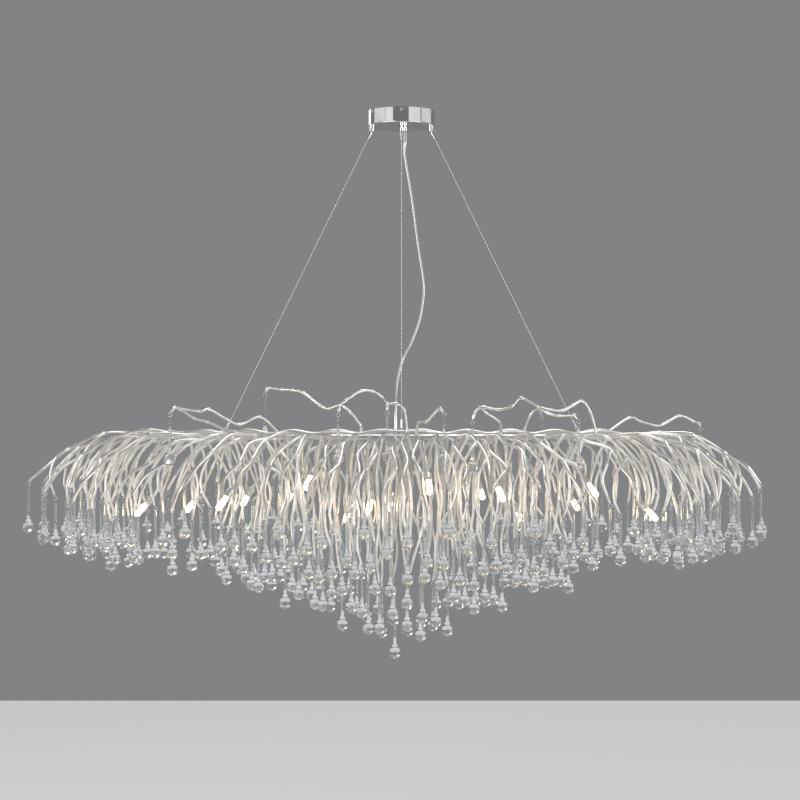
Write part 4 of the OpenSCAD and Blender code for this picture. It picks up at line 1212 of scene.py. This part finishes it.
@dataclass
class Spine:
    """Runners on the cross bars and the weld collars at the branches' roots; the frame keeps its CAD shape."""

    layout: Thicket
    runner_r: float = 2.8
    runner_y: tuple[float, ...] = (-26.0, -16.0, 16.0, 26.0)
    lift: float = 8.4
    half_pitch: float = 53.0
    knuckle_r: float = 4.7

    def runners(self, material: bpy.types.Material) -> None:
        """Bends the wavy runners: low over each cross bar, humped between, and higher over the plate."""
        step = np.arange(-10, 11)
        surface = Surface()
        for row, y in enumerate(self.runner_y):
            between = step % 2 != 0
            side = y + 1.5 * jitter(step, row) * between
            hump = np.where(between, 7 + 3 * jitter(step, row + 4), 0.0)
            height = self.layout.ring_z + self.lift + np.where(step == 0, 5.0, hump)
            path = smooth_curve(np.stack([step * self.half_pitch, side, height], axis=1), 6)
            knots = np.abs((np.arange(len(path)) % 12) - 6) == 6
            radii = self.runner_r * (1 + 0.18 * knots)
            surface.sweep(path[None], radii[None], 10)
        piece = surface.piece("spine_runner_rods", 45.0)
        finish(piece, Body.FIXTURE.value, ["spine_runners"], material)

    def collars(self, material: bpy.types.Material) -> None:
        """Turns a weld bead at each root: a flattened ball whose axis points out of the ring."""
        heading = self.layout.heading(np.arange(self.layout.planes, dtype=float))
        root = self.layout.root(heading)
        out = unit(root - self.layout.on_ring(heading))
        places = np.concatenate([root, np.full((len(root), 1), self.layout.ring_z)], axis=1)
        axes = np.concatenate([out, np.zeros((len(out), 1))], axis=1)
        turn = np.linspace(-0.42, 0.42, 6) * np.pi
        profile = self.knuckle_r * np.stack([np.cos(turn), np.sin(turn)], axis=1)
        surface = Surface()
        surface.turn(places, axes, profile, 10)
        piece = surface.piece("root_weld_beads")
        finish(piece, Body.FIXTURE.value, ["root_knuckles"], material)

    def build(self, finishes: Finishes) -> None:
        """Builds the runners and beads, and dresses the frame."""
        self.runners(finishes.satin)
        self.collars(finishes.satin)
        dress(["spine_frame"], finishes.forged)


@dataclass
class GlassDrops:
    """Eyes, wire links and the glass drops that hang from them."""

    layout: Thicket
    ball_r: float = 14.5
    ball_z: float = -98.0
    stem_r: float = 3.1
    sides: int = 14
    link_wire: float = 0.5
    eye_wire: float = 0.8
    eye_ring: float = 2.4
    swinging: tuple[int, ...] = (0, 36, 47, 51, 55, 59)

    def profile(self) -> Array:
        """Outline of a drop from below: the ball, the bell that flares out over it, and the stem."""
        turn = np.radians([-78, -58, -34, -10, 14, 36, 52])
        ball = np.stack([self.ball_r * np.cos(turn), self.ball_z + self.ball_r * np.sin(turn)], axis=1)
        bell = [[8.1, -84.6], [7.2, -81.6], [5.6, -77.8], [4.3, -72.5], [3.5, -65.5],
                [self.stem_r, -57.0], [self.stem_r, -3.8]]
        return np.vstack([ball, bell])

    def drops(self, name: str, nodes: Sequence[str], body: str, pivots: Array,
              material: bpy.types.Material) -> None:
        """Builds some drops as one piece.

        Args:
            name: Name of the piece.
            nodes: CAD nodes that it stands for.
            body: Body that it rides on.
            pivots: Points where the drops hang from their links.
            material: Their material.
        """
        surface = Surface()
        upright = np.tile([0.0, 0.0, 1.0], (len(pivots), 1))
        surface.turn(pivots, upright, self.profile(), self.sides)
        across = np.tile([1.0, 0.0, 0.0], (len(pivots), 1))
        holes = pivots - [0, 0, self.layout.link_sag]
        surface.rings(holes, across, 2.55, 0.85, (10, 5))
        finish(surface.piece(name, 60.0), body, nodes, material)

    def bars(self, arches: Arches) -> tuple[Array, Array, Array]:
        """Stems and balls of all drops as round bars: starts, ends and radii."""
        layout = self.layout
        eyes = np.concatenate([layout.eyes().reshape(-1, 3), layout.eyes_past(*arches.ends())])
        pivots = eyes - [0, 0, layout.link_sag + layout.link_d]
        balls = pivots + [0, 0, self.ball_z]
        radii = np.repeat([self.stem_r, self.ball_r], len(pivots))
        return np.concatenate([pivots, balls]), np.concatenate([balls, balls]), radii

    def build(self, arches: Arches, finishes: Finishes) -> None:
        """Builds eyes, links and drops, the swinging drops on bodies of their own."""
        layout = self.layout
        eyes = layout.eyes()
        arch_eyes = layout.eyes_past(*arches.ends())
        everywhere = np.concatenate([eyes.reshape(-1, 3), arch_eyes])
        hang = np.array([0, 0, layout.link_sag + layout.link_d])
        self.metal(everywhere, everywhere - hang, finishes)
        quarter = layout.planes // 4
        for number, side in enumerate(("right", "back", "left", "front")):
            planes = (np.arange(quarter) + number * quarter - quarter // 2) % layout.planes
            chosen = eyes[planes].copy()
            still = np.ones(chosen.shape[:2], dtype=bool)
            still[np.isin(planes, self.swinging), 0] = False
            self.drops(f"glass_drops_{side}", [f"drops_{side}"], Body.FIXTURE.value, chosen[still] - hang,
                       finishes.glass)
        self.drops("glass_drops_of_arches", ["drops_of_arches"], Body.FIXTURE.value, arch_eyes - hang,
                   finishes.glass)
        for number, plane in enumerate(self.swinging, 1):
            node = f"swing_drop_{number}"
            body = next(name for name, members in frame["record"]["behaviour"]["bodies"].items()
                        if node in members)
            self.drops(f"glass_{node}", [node], body, eyes[plane, :1] - hang, finishes.glass)

    def metal(self, eyes: Array, pivots: Array, finishes: Finishes) -> None:
        """Builds the eyes at the rods' ends and the wire links that hang in them."""
        across = np.tile([1.0, 0.0, 0.0], (len(eyes), 1))
        surface = Surface()
        surface.rings(eyes, across, self.eye_ring, self.eye_wire, (10, 5))
        finish(surface.piece("twig_end_eyes", 60.0), Body.FIXTURE.value, ["twig_eyes"],
               finishes.satin)
        middles = pivots + [0, 0, self.layout.link_d / 2]
        facing = np.tile([0.0, 1.0, 0.0], (len(eyes), 1))
        surface = Surface()
        surface.rings(middles, facing, self.layout.link_d / 2, self.link_wire, (12, 5))
        finish(surface.piece("drop_wire_links", 60.0), Body.FIXTURE.value, ["wire_links"],
               finishes.steel)


@dataclass
class Lamps:
    """Capsule lamps on arms inside the thicket.

    A lamp is [plane, share of its reach, height of its socket's back below the ring].
    """

    layout: Thicket
    lamps: tuple[tuple[float, float, float], ...] = (
        (37.4, 0.20, 142), (43.1, 0.40, 122), (48.1, 0.56, 72), (51.0, 0.20, 132), (54.7, 0.56, 82),
        (59.3, 0.28, 102), (64.0, 0.32, 92), (67.9, 0.20, 152), (29.7, 0.24, 142), (25.9, 0.52, 132),
        (20.4, 0.36, 172), (17.7, 0.20, 142), (11.4, 0.20, 112), (9.8, 0.52, 172), (24.1, 0.32, 122),
        (7.0, 0.52, 142))
    pitch: float = 47.0
    knuckle_drop: float = 11.0
    socket_r: float = 8.5
    socket_l: float = 24.0
    base_l: float = 12.0
    bulb_r: float = 6.5
    bulb_l: float = 38.0
    arm_r: float = 3.5

    def places(self) -> tuple[Array, Array, Array]:
        """Backs of the sockets, directions of the lamps, and the knuckles under the ring."""
        plane, share, drop = np.array(self.lamps).T
        heading = self.layout.heading(plane + 0.5)
        z = self.layout.ring_z
        backs = np.concatenate([self.layout.reaching(heading, share), (z - drop)[:, None]], axis=1)
        flat = unit(self.layout.reaching(heading, np.ones_like(share)) - self.layout.root(heading))
        down = np.radians(self.pitch)
        ways = np.concatenate([np.cos(down) * flat, np.full((len(flat), 1), -np.sin(down))], axis=1)
        ring = self.layout.on_ring(heading)
        knuckles = np.concatenate([ring, np.full((len(ring), 1), z - self.knuckle_drop)], axis=1)
        return backs, ways, knuckles

    def bars(self) -> tuple[Array, Array, Array]:
        """The lamps as round bars, from the backs of the sockets to the ends of the bulbs."""
        backs, ways, _ = self.places()
        return backs, backs + ways * (self.socket_l + self.bulb_l), np.full(len(backs), self.socket_r)

    def sockets(self, backs: Array, ways: Array, material: bpy.types.Material) -> None:
        """Turns the sockets: a chamfered barrel with two grooves and an open bore for the bulb."""
        r, l = self.socket_r, self.socket_l
        bore = self.bulb_r + 0.3
        profile = np.array([
            [2.5, 0.0], [r - 1.6, 0.0], [r, 1.6], [r, 6.0], [r - 0.7, 6.5], [r - 0.7, 7.5], [r, 8.0], [r, 15.5],
            [r - 0.7, 16.0], [r - 0.7, 17.0], [r, 17.5], [r, l - 0.8], [r - 0.6, l], [bore, l],
            [bore, l - self.base_l], [2.5, l - self.base_l]])
        surface = Surface()
        surface.turn(backs, ways, profile, 24)
        piece = surface.piece("lamp_socket_barrels")
        finish(piece, Body.FIXTURE.value, ["lamp_sockets"], material)

    def bulbs(self, backs: Array, ways: Array, finishes: Finishes) -> None:
        """Turns the bulbs: a capsule with a rounded end and a pinched neck, and the lit core behind it."""
        low = self.socket_l - self.base_l + 0.3
        high = low + self.base_l + self.bulb_l
        r = self.bulb_r
        turn = np.linspace(0, 0.46 * np.pi, 6)
        dome = np.stack([r * np.cos(turn), high - r + r * np.sin(turn)], axis=1)
        neck = [[r - 0.8, low], [r - 0.1, low + 1.0], [r - 0.1, low + 12], [r - 1.3, low + 14], [r, low + 18]]
        surface = Surface()
        surface.turn(backs, ways, np.vstack([neck, dome]), 20)
        piece = surface.piece("capsule_bulbs", 60.0)
        finish(piece, Body.FIXTURE.value, ["bulb_glasses"], finishes.bulb)
        core = np.array([[4.8, low], [4.8, low + 10], [2.0, low + 10.2], [2.0, low + 34]])
        surface = Surface()
        surface.turn(backs, ways, core, 12)
        piece = surface.piece("bulb_lit_cores")
        finish(piece, Body.FIXTURE.value, ["bulb_cores"], finishes.filament)

    def arms(self, backs: Array, ways: Array, knuckles: Array, material: bpy.types.Material) -> None:
        """Bends the arms: a rod from each knuckle to its socket, with a collar at both ends and the middle."""
        span = backs - knuckles
        share = np.array([0.03, 0.05, 0.09, 0.30, 0.46, 0.48, 0.52, 0.54, 0.75, 0.93, 0.96, 1.0])
        swell = np.array([1.25, 1.25, 1.0, 0.94, 0.98, 1.22, 1.22, 0.98, 0.94, 1.0, 1.2, 1.2])
        path = knuckles[:, None] + span[:, None] * share[None, :, None]
        surface = Surface()
        surface.sweep(path, np.tile(self.arm_r * swell, (len(path), 1)), 12)
        piece = surface.piece("lamp_arm_rods", 45.0)
        finish(piece, Body.FIXTURE.value, ["lamp_arms"], material)

    def build(self, finishes: Finishes) -> None:
        """Builds the lamps."""
        backs, ways, knuckles = self.places()
        self.sockets(backs, ways, finishes.satin)
        self.bulbs(backs, ways, finishes)
        self.arms(backs, ways, knuckles, finishes.satin)
        dress(["lamp_knuckles"], finishes.forged)


def plain(box: Any) -> list[list[float]]:
    """A box's corners as lists of numbers."""
    return [[round(float(value), 5) for value in corner] for corner in box]


def main() -> None:
    """Builds the studio and the chandelier, part by part."""
    logging.basicConfig(level=logging.INFO, format="%(name)s: %(message)s")
    finishes = Finishes()
    layout = Thicket()
    arches = Arches(layout)
    Studio().build()
    Cords().build(finishes)
    lamps = Lamps(layout)
    drops = GlassDrops(layout)
    keep_off = KeepOff(*(np.concatenate(parts) for parts in zip(drops.bars(arches), lamps.bars())))
    parts: Sequence[Callable[[Finishes], None]] = (
        Canopy().build, Suspension().build, Spine(layout).build, Branches(layout, keep_off).build,
        arches.build, lamps.build)
    for build in parts:
        build(finishes)
    drops.build(arches, finishes)


if __name__ == "__main__":
    main()
